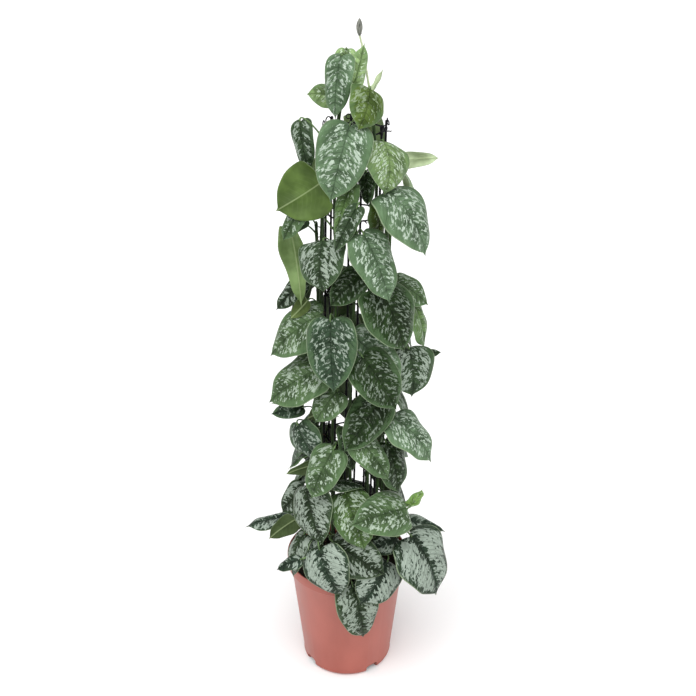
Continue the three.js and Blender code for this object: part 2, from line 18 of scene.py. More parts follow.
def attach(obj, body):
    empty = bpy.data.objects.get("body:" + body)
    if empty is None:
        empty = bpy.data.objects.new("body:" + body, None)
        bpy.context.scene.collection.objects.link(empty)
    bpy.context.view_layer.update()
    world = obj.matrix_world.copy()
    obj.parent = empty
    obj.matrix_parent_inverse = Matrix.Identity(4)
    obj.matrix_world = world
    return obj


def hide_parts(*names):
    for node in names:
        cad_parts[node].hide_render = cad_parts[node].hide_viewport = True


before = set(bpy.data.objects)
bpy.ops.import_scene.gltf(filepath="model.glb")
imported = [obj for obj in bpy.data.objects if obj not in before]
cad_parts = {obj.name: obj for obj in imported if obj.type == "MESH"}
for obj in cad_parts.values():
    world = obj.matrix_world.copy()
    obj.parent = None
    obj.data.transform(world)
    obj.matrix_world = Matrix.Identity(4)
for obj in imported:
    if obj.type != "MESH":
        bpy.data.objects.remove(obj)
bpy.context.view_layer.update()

LOG = logging.getLogger("satin_pothos")
MM = 0.001
UP = Vector((0.0, 0.0, 1.0))
MERGE = 0.01


# ---- Finishes


def linear(code: str) -> tuple[float, float, float, float]:
    """Turns a colour from sRGB hex to linear light.

    Args:
        code: The colour as "#RRGGBB".

    Returns:
        Red, green, blue and an alpha of 1, for a colour socket.
    """
    channels = [int(code[i : i + 2], 16) / 255 for i in (1, 3, 5)]
    return (*[c / 12.92 if c <= 0.04045 else ((c + 0.055) / 1.055) ** 2.4 for c in channels], 1.0)


def add_node(
    tree: bpy.types.NodeTree,
    kind: str,
    inputs: dict[str | int, object] | None = None,
    out: str | int = 0,
    **settings: object,
) -> bpy.types.NodeSocket:
    """Adds a shader node with its settings and what feeds it.

    Args:
        tree: The material's node tree.
        kind: The node's type without its "ShaderNode" prefix.
        inputs: A value or an output socket for each input, by its name or number.
        out: Name or number of the output that is wanted.
        settings: Properties of the node, by name.

    Returns:
        That output of the new node.
    """
    node = tree.nodes.new("ShaderNode" + kind)
    for name, value in settings.items():
        setattr(node, name, value)
    for key, value in (inputs or {}).items():
        if isinstance(value, bpy.types.NodeSocket):
            tree.links.new(value, node.inputs[key])
        else:
            node.inputs[key].default_value = value
    return node.outputs[out]


def new_material(name: str) -> tuple[bpy.types.Material, bpy.types.NodeTree, bpy.types.Node]:
    """Starts a material.

    Args:
        name: The material's name.

    Returns:
        The material, its node tree and its Principled shader.
    """
    material = bpy.data.materials.new(name)
    material.use_nodes = True
    tree = material.node_tree
    return material, tree, tree.nodes["Principled BSDF"]


STEP = {"interpolation_type": "SMOOTHSTEP"}
LAYER = {"data_type": "RGBA", "out": 2}
VEIN_SPACING = 9.0


def side_veins(tree: bpy.types.NodeTree, line_mm: float) -> bpy.types.NodeSocket:
    """Draws the side veins of a blade, which fade out towards its margin.

    Args:
        tree: The material's node tree.
        line_mm: Half the width of a vein.

    Returns:
        A socket that is 1 in the middle of a vein and 0 between the veins.
    """
    veins = add_node(tree, "UVMap", uv_map="veins")
    spot = add_node(tree, "SeparateXYZ", {0: veins})
    turn = add_node(tree, "Math", {0: spot, 1: VEIN_SPACING}, operation="DIVIDE")
    near = add_node(tree, "Math", {0: turn, 1: 0.5}, operation="PINGPONG")
    line = {"Value": near, "From Max": line_mm / VEIN_SPACING, "To Min": 1.0, "To Max": 0.0}
    line = add_node(tree, "MapRange", line, **STEP)
    blade = add_node(tree, "UVMap", uv_map="blade")
    side = add_node(tree, "SeparateXYZ", {0: blade})
    fade = {"Value": side, "From Min": 0.35, "From Max": 0.9, "To Min": 1.0, "To Max": 0.0}
    fade = add_node(tree, "MapRange", fade, **STEP)
    return add_node(tree, "Math", {0: line, 1: fade}, operation="MULTIPLY")


@dataclass(frozen=True)
class SatinLeafFace:
    """Upper face of a Scindapsus leaf: a waxed green skin with flecks where air lies under it.

    The flecks are matt silver and run along the side veins. They leave the midrib and a band at the margin
    green, and on the silver leaves they flow together, so that only a torn dark net is left.
    """

    white: str = "#D6E5D6"
    margin: str = "#A3B592"
    # Lighter green of the band at the margin: partly painted sheen, partly the plainer skin of the margin.
    margin_sheen_green: str = "#7A9E6E"
    shadow: str = "#8B938B"
    fleck_mm: tuple[float, float] = (5.6, 6.4)
    speck_mm: tuple[float, float] = (1.8, 2.2)
    finger_mm: tuple[float, float] = (4.0, 16.0)
    shade_mm: tuple[float, float] = (22.0, 34.0)
    swell_mm: tuple[float, float] = (12.0, 22.0)
    swell_height: float = 5.0
    vein_depth: float = 0.6
    vein_mm: float = 1.5
    skin_mm: float = 1.1
    seed_spread: float = 97.0
    specular: float = 0.12

    def build(self) -> bpy.types.Material:
        """Makes the material, which reads the blade's two UV maps, its skin's colour and its flecking.

        Returns:
            The material.
        """
        material, tree, shader = new_material("waxed_satin_leaf")
        ground = add_node(tree, "Attribute", attribute_name="ground", out="Color")
        flecking = add_node(tree, "Attribute", attribute_name="flecking", out="Color")
        share, light, seed = add_node(tree, "SeparateColor", {0: flecking}).node.outputs
        seed = add_node(tree, "Math", {0: seed, 1: self.seed_spread}, operation="MULTIPLY")
        blade = add_node(tree, "UVMap", uv_map="blade")
        side = add_node(tree, "SeparateXYZ", {0: blade})
        veins = add_node(tree, "UVMap", uv_map="veins")
        reach = add_node(tree, "SeparateXYZ", {0: veins}, out=1)
        width = add_node(tree, "Math", {0: reach}, operation="ABSOLUTE")
        place = add_node(tree, "VectorMath", {0: veins, 1: seed}, operation="ADD")
        blotch = self.grain(tree, place, self.fleck_mm, 3.0)
        speck = self.grain(tree, place, self.speck_mm, 1.0)
        finger = self.grain(tree, place, self.finger_mm, 2.0)
        shade = self.grain(tree, place, self.shade_mm, 2.0)
        band = self.band(tree, (speck, shade), share, side)
        fleck = self.fleck(tree, (blotch, speck, finger), share, band, width)

        cloud = {"Value": shade, "From Min": 0.34, "From Max": 0.66, "To Min": 0.0, "To Max": 0.75}
        cloud = add_node(tree, "MapRange", cloud, **STEP)
        body = {0: cloud, 6: ground, 7: linear(self.shadow)}
        body = add_node(tree, "Mix", body, blend_type="MULTIPLY", **LAYER)
        haze = {"Value": blotch, "From Min": 0.42, "From Max": 0.6, "To Max": 0.03}
        haze = add_node(tree, "MapRange", haze, **STEP)
        body = add_node(tree, "Mix", {0: haze, 6: body, 7: linear(self.margin)}, **LAYER)
        # Lighter green on the plain band at the margin, strongest on the leaves with little silver: partly
        # painted sheen, partly the plainer skin of the margin.
        sheen_on_margin = {"Value": share, "From Min": 0.45, "From Max": 0.8, "To Min": 1.0, "To Max": 0.2}
        sheen_on_margin = add_node(tree, "MapRange", sheen_on_margin)
        sheen_on_margin = add_node(tree, "Math", {0: sheen_on_margin, 1: band}, operation="MULTIPLY")
        body = add_node(tree, "Mix", {0: sheen_on_margin, 6: body, 7: linear(self.margin_sheen_green)}, **LAYER)

        streak = {"Value": finger, "From Min": 0.3, "From Max": 0.7, "To Min": 0.8, "To Max": 1.15}
        streak = add_node(tree, "MapRange", streak)
        lit = add_node(tree, "Math", {0: light, 1: streak}, operation="MULTIPLY")
        bright = add_node(tree, "Mix", {0: lit, 6: ground, 7: linear(self.white)}, **LAYER)
        skin = add_node(tree, "Mix", {0: fleck, 6: body, 7: bright}, **LAYER)
        midrib = {"Value": width, "From Min": 0.5, "From Max": 1.8, "To Min": 1.0, "To Max": 0.0}
        midrib = add_node(tree, "MapRange", midrib, **STEP)
        # The midrib and the side veins are darkened with the shadow colour: painted shade in their grooves,
        # and in part the darker green along the veins.
        groove = {0: side_veins(tree, self.vein_mm), 1: midrib}
        groove = add_node(tree, "Math", groove, operation="MAXIMUM")
        groove_shade = add_node(tree, "Math", {0: groove, 1: 0.5}, operation="MULTIPLY")
        shaded_grooves = {0: groove_shade, 6: skin, 7: linear(self.shadow)}
        skin = add_node(tree, "Mix", shaded_grooves, blend_type="MULTIPLY", **LAYER)
        edge = {"Value": side, "From Min": 0.96, "From Max": 0.985, "To Max": 0.6}
        edge = add_node(tree, "MapRange", edge, **STEP)
        skin = add_node(tree, "Mix", {0: edge, 6: skin, 7: linear(self.margin)}, **LAYER)
        tree.links.new(skin, shader.inputs["Base Color"])

        gloss = add_node(tree, "MapRange", {"Value": fleck, "To Min": 0.38, "To Max": 0.5})
        tree.links.new(gloss, shader.inputs["Roughness"])
        where = add_node(tree, "TexCoord", out="Object")
        cells = {"Vector": where, "Scale": 1 / (self.skin_mm * MM), "Detail": 1.0}
        cells = add_node(tree, "TexNoise", cells)
        height = add_node(tree, "Math", {0: fleck, 1: 0.5, 2: cells}, operation="MULTIPLY_ADD")
        swell = self.grain(tree, place, self.swell_mm, 1.0)
        swell = add_node(tree, "Math", {0: swell, 1: self.swell_height}, operation="MULTIPLY")
        relief = {0: groove, 1: -self.vein_depth, 2: swell}
        relief = add_node(tree, "Math", relief, operation="MULTIPLY_ADD")
        coarse = add_node(tree, "Bump", {"Strength": 1.0, "Distance": MM, "Height": relief})
        bump = {"Strength": 0.3, "Distance": 0.25 * MM, "Height": height, "Normal": coarse}
        tree.links.new(add_node(tree, "Bump", bump), shader.inputs["Normal"])
        shader.inputs["Specular IOR Level"].default_value = self.specular
        return material

    def grain(
        self,
        tree: bpy.types.NodeTree,
        place: bpy.types.NodeSocket,
        size_mm: tuple[float, float],
        detail: float,
    ) -> bpy.types.NodeSocket:
        """Noise in the leaf's own directions.

        Args:
            tree: The node tree.
            place: Where the nearest side vein leaves the midrib and how far out the point is, in mm.
            size_mm: Size of a grain across the veins and along them.
            detail: How ragged the grains are.

        Returns:
            The socket with the noise.
        """
        stretch = (1 / size_mm[0], 1 / size_mm[1], 1.0)
        drawn = add_node(tree, "VectorMath", {0: place, 1: stretch}, operation="MULTIPLY")
        inputs = {"Vector": drawn, "Scale": 1.0, "Detail": detail, "Roughness": 0.58, "Distortion": 0.45}
        return add_node(tree, "TexNoise", inputs)

    def band(
        self,
        tree: bpy.types.NodeTree,
        grains: tuple[bpy.types.NodeSocket, bpy.types.NodeSocket],
        share: bpy.types.NodeSocket,
        side: bpy.types.NodeSocket,
    ) -> bpy.types.NodeSocket:
        """The plain green band at the margin, broad on the green leaves and narrow on the silver ones.

        Args:
            tree: The node tree.
            grains: The noise of the specks and of the broad shading, which let the band wander.
            share: The leaf's share of silver.
            side: From 0 at the midrib to 1 at the margin.

        Returns:
            A socket that rises from 0 inside the blade to 0.24 on the band.
        """
        speck, shade = grains
        torn = add_node(tree, "Math", {0: speck, 1: 0.4, 2: side}, operation="MULTIPLY_ADD")
        torn = add_node(tree, "Math", {0: shade, 1: 0.9, 2: torn}, operation="MULTIPLY_ADD")
        inner = add_node(tree, "MapRange", {"Value": share, "To Min": 1.28, "To Max": 1.43})
        outer = add_node(tree, "Math", {0: inner, 1: 0.2}, operation="ADD")
        band = {"Value": torn, "From Min": inner, "From Max": outer, "To Min": 0.0, "To Max": 0.24}
        return add_node(tree, "MapRange", band, **STEP)

    def fleck(
        self,
        tree: bpy.types.NodeTree,
        grains: tuple[bpy.types.NodeSocket, bpy.types.NodeSocket, bpy.types.NodeSocket],
        share: bpy.types.NodeSocket,
        band: bpy.types.NodeSocket,
        width: bpy.types.NodeSocket,
    ) -> bpy.types.NodeSocket:
        """Where the skin is silver.

        Args:
            tree: The node tree.
            grains: The noise of the flecks, of the specks in them and of the fingers between them.
            share: The leaf's share of silver.
            band: The green band at the margin.
            width: How far out from the midrib, in mm.

        Returns:
            A socket that is 1 on a fleck.
        """
        blotch, speck, finger = grains
        bar = add_node(tree, "MapRange", {"Value": share, "To Min": 0.765, "To Max": 0.455})
        bar = add_node(tree, "Math", {0: bar, 1: band}, operation="ADD")
        # Green runs out from the midrib in fingers along the side veins.
        torn = add_node(tree, "Math", {0: finger, 1: -50.0, 2: width}, operation="MULTIPLY_ADD")
        depth = add_node(tree, "MapRange", {"Value": share, "To Min": -0.1, "To Max": 0.46})
        rib = {"Value": torn, "From Min": -24.0, "From Max": -12.0, "To Min": depth, "To Max": 0.0}
        rib = add_node(tree, "MapRange", rib, **STEP)
        bar = add_node(tree, "Math", {0: bar, 1: rib}, operation="ADD")
        ragged = add_node(tree, "Math", {0: speck, 1: 0.22, 2: blotch}, operation="MULTIPLY_ADD")
        over = add_node(tree, "Math", {0: ragged, 1: bar}, operation="SUBTRACT")
        inputs = {"Value": over, "From Min": -0.02, "From Max": 0.045}
        return add_node(tree, "MapRange", inputs, **STEP)


@dataclass(frozen=True)
class LeafUnderside:
    """Lower face of the leaf: a thinner wax on pale flesh, so it is yellower, duller and shows its ribs."""

    flesh: str = "#A9C07C"
    rib: str = "#BACB97"
    shadow: str = "#7E8A66"
    cloud_mm: float = 42.0
    vein_mm: float = 0.9
    specular: float = 0.2

    def build(self) -> bpy.types.Material:
        """Makes the material, which reads the colour of the skin and the map of the veins.

        Returns:
            The material.
        """
        material, tree, shader = new_material("leaf_underside")
        ground = add_node(tree, "Attribute", attribute_name="ground", out="Color")
        veins = add_node(tree, "UVMap", uv_map="veins")
        reach = add_node(tree, "SeparateXYZ", {0: veins}, out=1)
        flesh = add_node(tree, "Mix", {0: 0.14, 6: ground, 7: linear(self.flesh)}, **LAYER)
        where = add_node(tree, "TexCoord", out="Object")
        cloud = {"Vector": where, "Scale": 1 / (self.cloud_mm * MM), "Detail": 3.0}
        cloud = add_node(tree, "TexNoise", cloud)
        dark = {"Value": cloud, "From Min": 0.3, "From Max": 0.7, "To Max": 0.7}
        dark = add_node(tree, "MapRange", dark, **STEP)
        flesh = {0: dark, 6: flesh, 7: linear(self.shadow)}
        flesh = add_node(tree, "Mix", flesh, blend_type="MULTIPLY", **LAYER)
        width = add_node(tree, "Math", {0: reach}, operation="ABSOLUTE")
        rib = {"Value": width, "From Min": 0.6, "From Max": 1.7, "To Min": 0.3, "To Max": 0.0}
        rib = add_node(tree, "MapRange", rib, **STEP)
        rib = {0: side_veins(tree, self.vein_mm), 1: 0.04, 2: rib}
        rib = add_node(tree, "Math", rib, operation="MULTIPLY_ADD")
        flesh = add_node(tree, "Mix", {0: rib, 6: flesh, 7: linear(self.rib)}, **LAYER)
        tree.links.new(flesh, shader.inputs["Base Color"])
        gloss = add_node(tree, "MapRange", {"Value": cloud, "To Min": 0.42, "To Max": 0.6})
        tree.links.new(gloss, shader.inputs["Roughness"])
        bump = add_node(tree, "Bump", {"Strength": 0.5, "Distance": 0.5 * MM, "Height": rib})
        tree.links.new(bump, shader.inputs["Normal"])
        shader.inputs["Specular IOR Level"].default_value = self.specular
        return material


@dataclass(frozen=True)
class Surface:
    """A plain finish of one stuff: a clouded and flecked colour with a fine grain to its gloss and relief."""

    name: str
    dark: str
    light: str
    speck: str
    cloud_mm: tuple[float, float, float]
    speck_mm: float
    speck_share: float
    roughness: tuple[float, float]
    grain_mm: float
    relief_mm: float
    specular: float = 0.5

    def build(self) -> bpy.types.Material:
        """Makes the material on Object coordinates.

        Returns:
            The material.
        """
        material, tree, shader = new_material(self.name)
        where = add_node(tree, "TexCoord", out="Object")
        stretch = [1 / (size * MM) for size in self.cloud_mm]
        drawn = add_node(tree, "Mapping", {"Vector": where, "Scale": stretch})
        cloud = add_node(tree, "TexNoise", {"Vector": drawn, "Scale": 1.0, "Detail": 4.0})
        fine = {"Vector": where, "Scale": 1 / (self.speck_mm * MM), "Detail": 2.0}
        speck = add_node(tree, "TexNoise", fine)
        grain = {"Vector": where, "Scale": 1 / (self.grain_mm * MM), "Detail": 2.0}
        grit = add_node(tree, "TexNoise", grain)
        tint = {"Value": cloud, "From Min": 0.3, "From Max": 0.7}
        tint = add_node(tree, "MapRange", tint, **STEP)
        colour = {0: tint, 6: linear(self.dark), 7: linear(self.light)}
        colour = add_node(tree, "Mix", colour, **LAYER)
        bar = 0.5 + 0.22 * (1 - self.speck_share)
        dots = {"Value": speck, "From Min": bar, "From Max": bar + 0.08, "To Max": self.speck_share}
        dots = add_node(tree, "MapRange", dots, **STEP)
        colour = add_node(tree, "Mix", {0: dots, 6: colour, 7: linear(self.speck)}, **LAYER)
        tree.links.new(colour, shader.inputs["Base Color"])
        gloss = {"Value": tint, "To Min": self.roughness[0], "To Max": self.roughness[1]}
        tree.links.new(add_node(tree, "MapRange", gloss), shader.inputs["Roughness"])
        bump = {"Strength": 0.6, "Distance": self.relief_mm * MM, "Height": grit}
        tree.links.new(add_node(tree, "Bump", bump), shader.inputs["Normal"])
        shader.inputs["Specular IOR Level"].default_value = self.specular
        return material


# Injection-moulded polypropylene with terracotta pigment: satin, faintly clouded, with a few pale scuffs.
TERRACOTTA_PLASTIC = Surface(
    name="moulded_terracotta_polypropylene",
    dark="#9A4F42",
    light="#A85B4E",
    speck="#B87B6C",
    cloud_mm=(60, 60, 150),
    speck_mm=2.4,
    speck_share=0.12,
    roughness=(0.34, 0.44),
    grain_mm=0.8,
    relief_mm=0.05,
)
# Damp peat: nearly black, crumbly and quite without gloss, with a few paler fibres.
DAMP_PEAT = Surface(
    name="damp_peat",
    dark="#140E0A",
    light="#2C2016",
    speck="#5B4430",
    cloud_mm=(7, 7, 7),
    speck_mm=1.6,
    speck_share=0.35,
    roughness=(0.85, 1.0),
    grain_mm=1.2,
    relief_mm=0.8,
)
# Composted pine bark: chips of red-brown cork with darker ends.
PINE_BARK = Surface(
    name="composted_pine_bark",
    dark="#22150D",
    light="#4A3020",
    speck="#75573C",
    cloud_mm=(4, 4, 9),
    speck_mm=1.2,
    speck_share=0.3,
    roughness=(0.7, 0.9),
    grain_mm=0.8,
    relief_mm=0.5,
)
# Steel wire dipped in black vinyl: a soft dull gloss with dust caught in it.
VINYL_ON_WIRE = Surface(
    name="vinyl_coated_wire",
    dark="#08090A",
    light="#131416",
    speck="#2C2E31",
    cloud_mm=(9, 9, 30),
    speck_mm=1.0,
    speck_share=0.2,
    roughness=(0.38, 0.5),
    grain_mm=0.6,
    relief_mm=0.04,
    specular=0.14,
)
# Green bark of a young aroid vine: smooth, with lengthwise streaks and corky flecks.
VINE_SKIN = Surface(
    name="green_vine_skin",
    dark="#22331A",
    light="#3F5A2B",
    speck="#6B5F45",
    cloud_mm=(2.5, 2.5, 30),
    speck_mm=1.3,
    speck_share=0.3,
    roughness=(0.45, 0.6),
    grain_mm=0.9,
    relief_mm=0.12,
    specular=0.22,
)
# Leaf stalk: paler and glossier than the vine, streaked lengthwise.
STALK_SKIN = Surface(
    name="pale_stalk_skin",
    dark="#37502A",
    light="#66844A",
    speck="#93A573",
    cloud_mm=(2.0, 2.0, 22),
    speck_mm=1.2,
    speck_share=0.25,
    roughness=(0.4, 0.55),
    grain_mm=0.8,
    relief_mm=0.06,
)
# Thin cut edge of the blade: pale green, as it has no dark skin.
BLADE_EDGE = Surface(
    name="pale_blade_edge",
    dark="#5A6B4A",
    light="#7C8E68",
    speck="#9DAE88",
    cloud_mm=(5, 5, 5),
    speck_mm=1.0,
    speck_share=0.2,
    roughness=(0.45, 0.55),
    grain_mm=0.6,
    relief_mm=0.02,
)
# Clasping roots: dry brown cork over a thin core.
ROOT_CORK = Surface(
    name="aerial_root_cork",
    dark="#3A291C",
    light="#63492F",
    speck="#846C49",
    cloud_mm=(2, 2, 5),
    speck_mm=0.9,
    speck_share=0.3,
    roughness=(0.7, 0.85),
    grain_mm=0.6,
    relief_mm=0.15,
)
# Young shoot above the last leaf: watery flesh with hardly any green in it yet.
SHOOT_SKIN = Surface(
    name="blanched_shoot_skin",
    dark="#9FB07A",
    light="#D5DEBE",
    speck="#E9EDD9",
    cloud_mm=(2.0, 2.0, 26),
    speck_mm=1.2,
    speck_share=0.25,
    roughness=(0.4, 0.5),
    grain_mm=0.8,
    relief_mm=0.04,
)
# Furled leaf: grey, the silver face rolled inside a thin dull skin.
FURLED_SKIN = Surface(
    name="grey_furled_leaf",
    dark="#44463F",
    light="#8A8C82",
    speck="#BFC0B6",
    cloud_mm=(2.5, 2.5, 16),
    speck_mm=1.2,
    speck_share=0.35,
    roughness=(0.4, 0.5),
    grain_mm=0.7,
    relief_mm=0.08,
)
# Studio floor: matt white paper.
WHITE_PAPER = Surface(
    name="matt_white_paper",
    dark="#F8F8F8",
    light="#FBFBFB",
    speck="#FFFFFF",
    cloud_mm=(400, 400, 400),
    speck_mm=40.0,
    speck_share=0.1,
    roughness=(0.85, 0.95),
    grain_mm=6.0,
    relief_mm=0.02,
)


# ---- Shapes in common


def on_circle(azimuth: float, radius: float, z: float, lean: float = 0.0) -> Vector:
    """A point by its azimuth.

    Args:
        azimuth: Degrees from +X towards +Y.
        radius: Distance from the axis in mm.
        z: Height in mm.
        lean: How far the axis has moved towards +X there.

    Returns:
        The point in mm.
    """
    angle = math.radians(azimuth)
    return Vector((lean + radius * math.cos(angle), radius * math.sin(angle), z))


def random_draws(seed: int) -> Callable[[], float]:
    """Repeatable random numbers from 0 to 1.

    Args:
        seed: Where the draws begin.

    Returns:
        A function that gives the next number.
    """
    state = seed

    def draw() -> float:
        """The next number."""
        nonlocal state
        state = state * 16807 % 2147483647
        return state / 2147483647

    return draw


def through(points: Sequence[Vector], share: float) -> Vector:
    """A point on the smooth curve through some points, which it spends equal shares between.

    Args:
        points: The points that it passes.
        share: From 0 at the first to 1 at the last.

    Returns:
        The point.
    """
    last = len(points) - 1
    first = min(int(share * last), last - 1)
    t = share * last - first
    before, here, there, after = (points[min(max(first + k, 0), last)] for k in (-1, 0, 1, 2))
    leave, arrive = (there - before) / 2, (after - here) / 2
    rise = (2 * here - 2 * there + leave + arrive) * t**3
    return rise + (3 * there - 3 * here - 2 * leave - arrive) * t**2 + leave * t + here


def new_bmesh() -> bmesh.types.BMesh:
    """An empty mesh with the layers that every plant mesh carries, so that they can be joined."""
    bm = bmesh.new()
    bm.loops.layers.uv.new("blade")
    bm.loops.layers.uv.new("veins")
    bm.verts.layers.float_color.new("ground")
    bm.verts.layers.float_color.new("flecking")
    return bm


def sweep(path: Sequence[Vector], radii: Sequence[float], sides: int, finish: int) -> bmesh.types.BMesh:
    """Draws a round ring along a path and closes its ends.

    Args:
        path: The middles of the rings in mm.
        radii: The radius at each.
        sides: Sides of the ring.
        finish: Material index of its faces.

    Returns:
        The closed tube.
    """
    bm = new_bmesh()
    ends = [(path[max(i - 1, 0)], path[min(i + 1, len(path) - 1)]) for i in range(len(path))]
    headings = [(after - before).normalized() for before, after in ends]
    turn = UP.rotation_difference(headings[0])
    place = Matrix.LocRotScale(path[0], turn, Vector.Fill(3, radii[0]))
    ring = bmesh.ops.create_circle(bm, cap_ends=True, segments=sides, radius=1.0, matrix=place)["verts"]
    edges = [edge for edge in bm.edges if all(vert in ring for vert in edge.verts)]
    for i in range(1, len(path)):
        turn = headings[i - 1].rotation_difference(headings[i]) @ turn
        ahead = Matrix.LocRotScale(path[i], turn, Vector.Fill(3, radii[i]))
        grown = bmesh.ops.extrude_edge_only(bm, edges=edges)["geom"]
        verts = [part for part in grown if isinstance(part, bmesh.types.BMVert)]
        edges = [part for part in grown if isinstance(part, bmesh.types.BMEdge) and part.is_boundary]
        bmesh.ops.transform(bm, matrix=ahead @ place.inverted(), verts=verts)
        place = ahead
    bmesh.ops.contextual_create(bm, geom=edges)
    bmesh.ops.recalc_face_normals(bm, faces=bm.faces[:])
    for face in bm.faces:
        face.material_index = finish
    return bm


def round_end(path: list[Vector], radii: list[float], steps: int = 3) -> None:
    """Rounds off the far end of a path by rings that close in.

    Args:
        path: The middles of the rings, which it adds to.
        radii: Their radii, which it adds to.
        steps: How many rings to add.
    """
    heading = (path[-1] - path[-2]).normalized()
    foot, radius = path[-1], radii[-1]
    for i in range(1, steps + 1):
        angle = i / (steps + 0.3) * math.pi / 2
        path.append(foot + heading * radius * math.sin(angle))
        radii.append(radius * math.cos(angle))


def join_meshes(parts: Iterable[bmesh.types.BMesh]) -> bmesh.types.BMesh:
    """Puts several meshes into one.

    Args:
        parts: The meshes, which it uses up.

    Returns:
        One mesh that holds them all.
    """
    whole = new_bmesh()
    for part in parts:
        carried = bpy.data.meshes.new("carried")
        part.to_mesh(carried)
        part.free()
        whole.from_mesh(carried)
        bpy.data.meshes.remove(carried)
    return whole


def add_piece(
    bm: bmesh.types.BMesh, name: str, slot: str, finishes: Sequence[bpy.types.Material], *nodes: str
) -> bpy.types.Object:
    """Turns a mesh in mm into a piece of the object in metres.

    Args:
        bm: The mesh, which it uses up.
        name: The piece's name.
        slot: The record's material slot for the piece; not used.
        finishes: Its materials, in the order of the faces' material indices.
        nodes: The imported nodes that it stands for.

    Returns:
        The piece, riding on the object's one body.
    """
    bmesh.ops.scale(bm, vec=Vector.Fill(3, MM), verts=bm.verts[:])
    for face in bm.faces:
        face.smooth = True
    mesh = bpy.data.meshes.new(name)
    bm.to_mesh(mesh)
    bm.free()
    for finish in finishes:
        mesh.materials.append(finish)
    piece = bpy.data.objects.new(name, mesh)
    bpy.context.scene.collection.objects.link(piece)
    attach(piece, "root")
    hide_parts(*nodes)
    LOG.info("%s: %d faces, stands for %s", name, len(mesh.polygons), ", ".join(nodes))
    return piece


def sharp_rings(bm: bmesh.types.BMesh, angle: float) -> list[bmesh.types.BMEdge]:
    """The edges where a surface turns by more than an angle.

    Args:
        bm: The mesh.
        angle: The least turn, in degrees.

    Returns:
        The edges.
    """
    return [edge for edge in bm.edges if edge.is_manifold and edge.calc_face_angle() > math.radians(angle)]


def turned(profile: Sequence[tuple[float, float]], steps: int) -> bmesh.types.BMesh:
    """Spins a profile that begins and ends on the axis into a closed shell.

    Args:
        profile: Radius and height of each corner, in mm.
        steps: Sides of the round.

    Returns:
        The closed shell, with its faces outwards.
    """
    bm = new_bmesh()
    verts = [bm.verts.new((radius, 0.0, z)) for radius, z in profile]
    edges = [bm.edges.new(pair) for pair in zip(verts, verts[1:])]
    bmesh.ops.spin(
        bm, geom=verts + edges, cent=(0, 0, 0), axis=(0, 0, 1), steps=steps, angle=math.tau, use_merge=True
    )
    bmesh.ops.remove_doubles(bm, verts=bm.verts[:], dist=MERGE)
    bmesh.ops.recalc_face_normals(bm, faces=bm.faces[:])
    return bm


# ---- Pot and soil


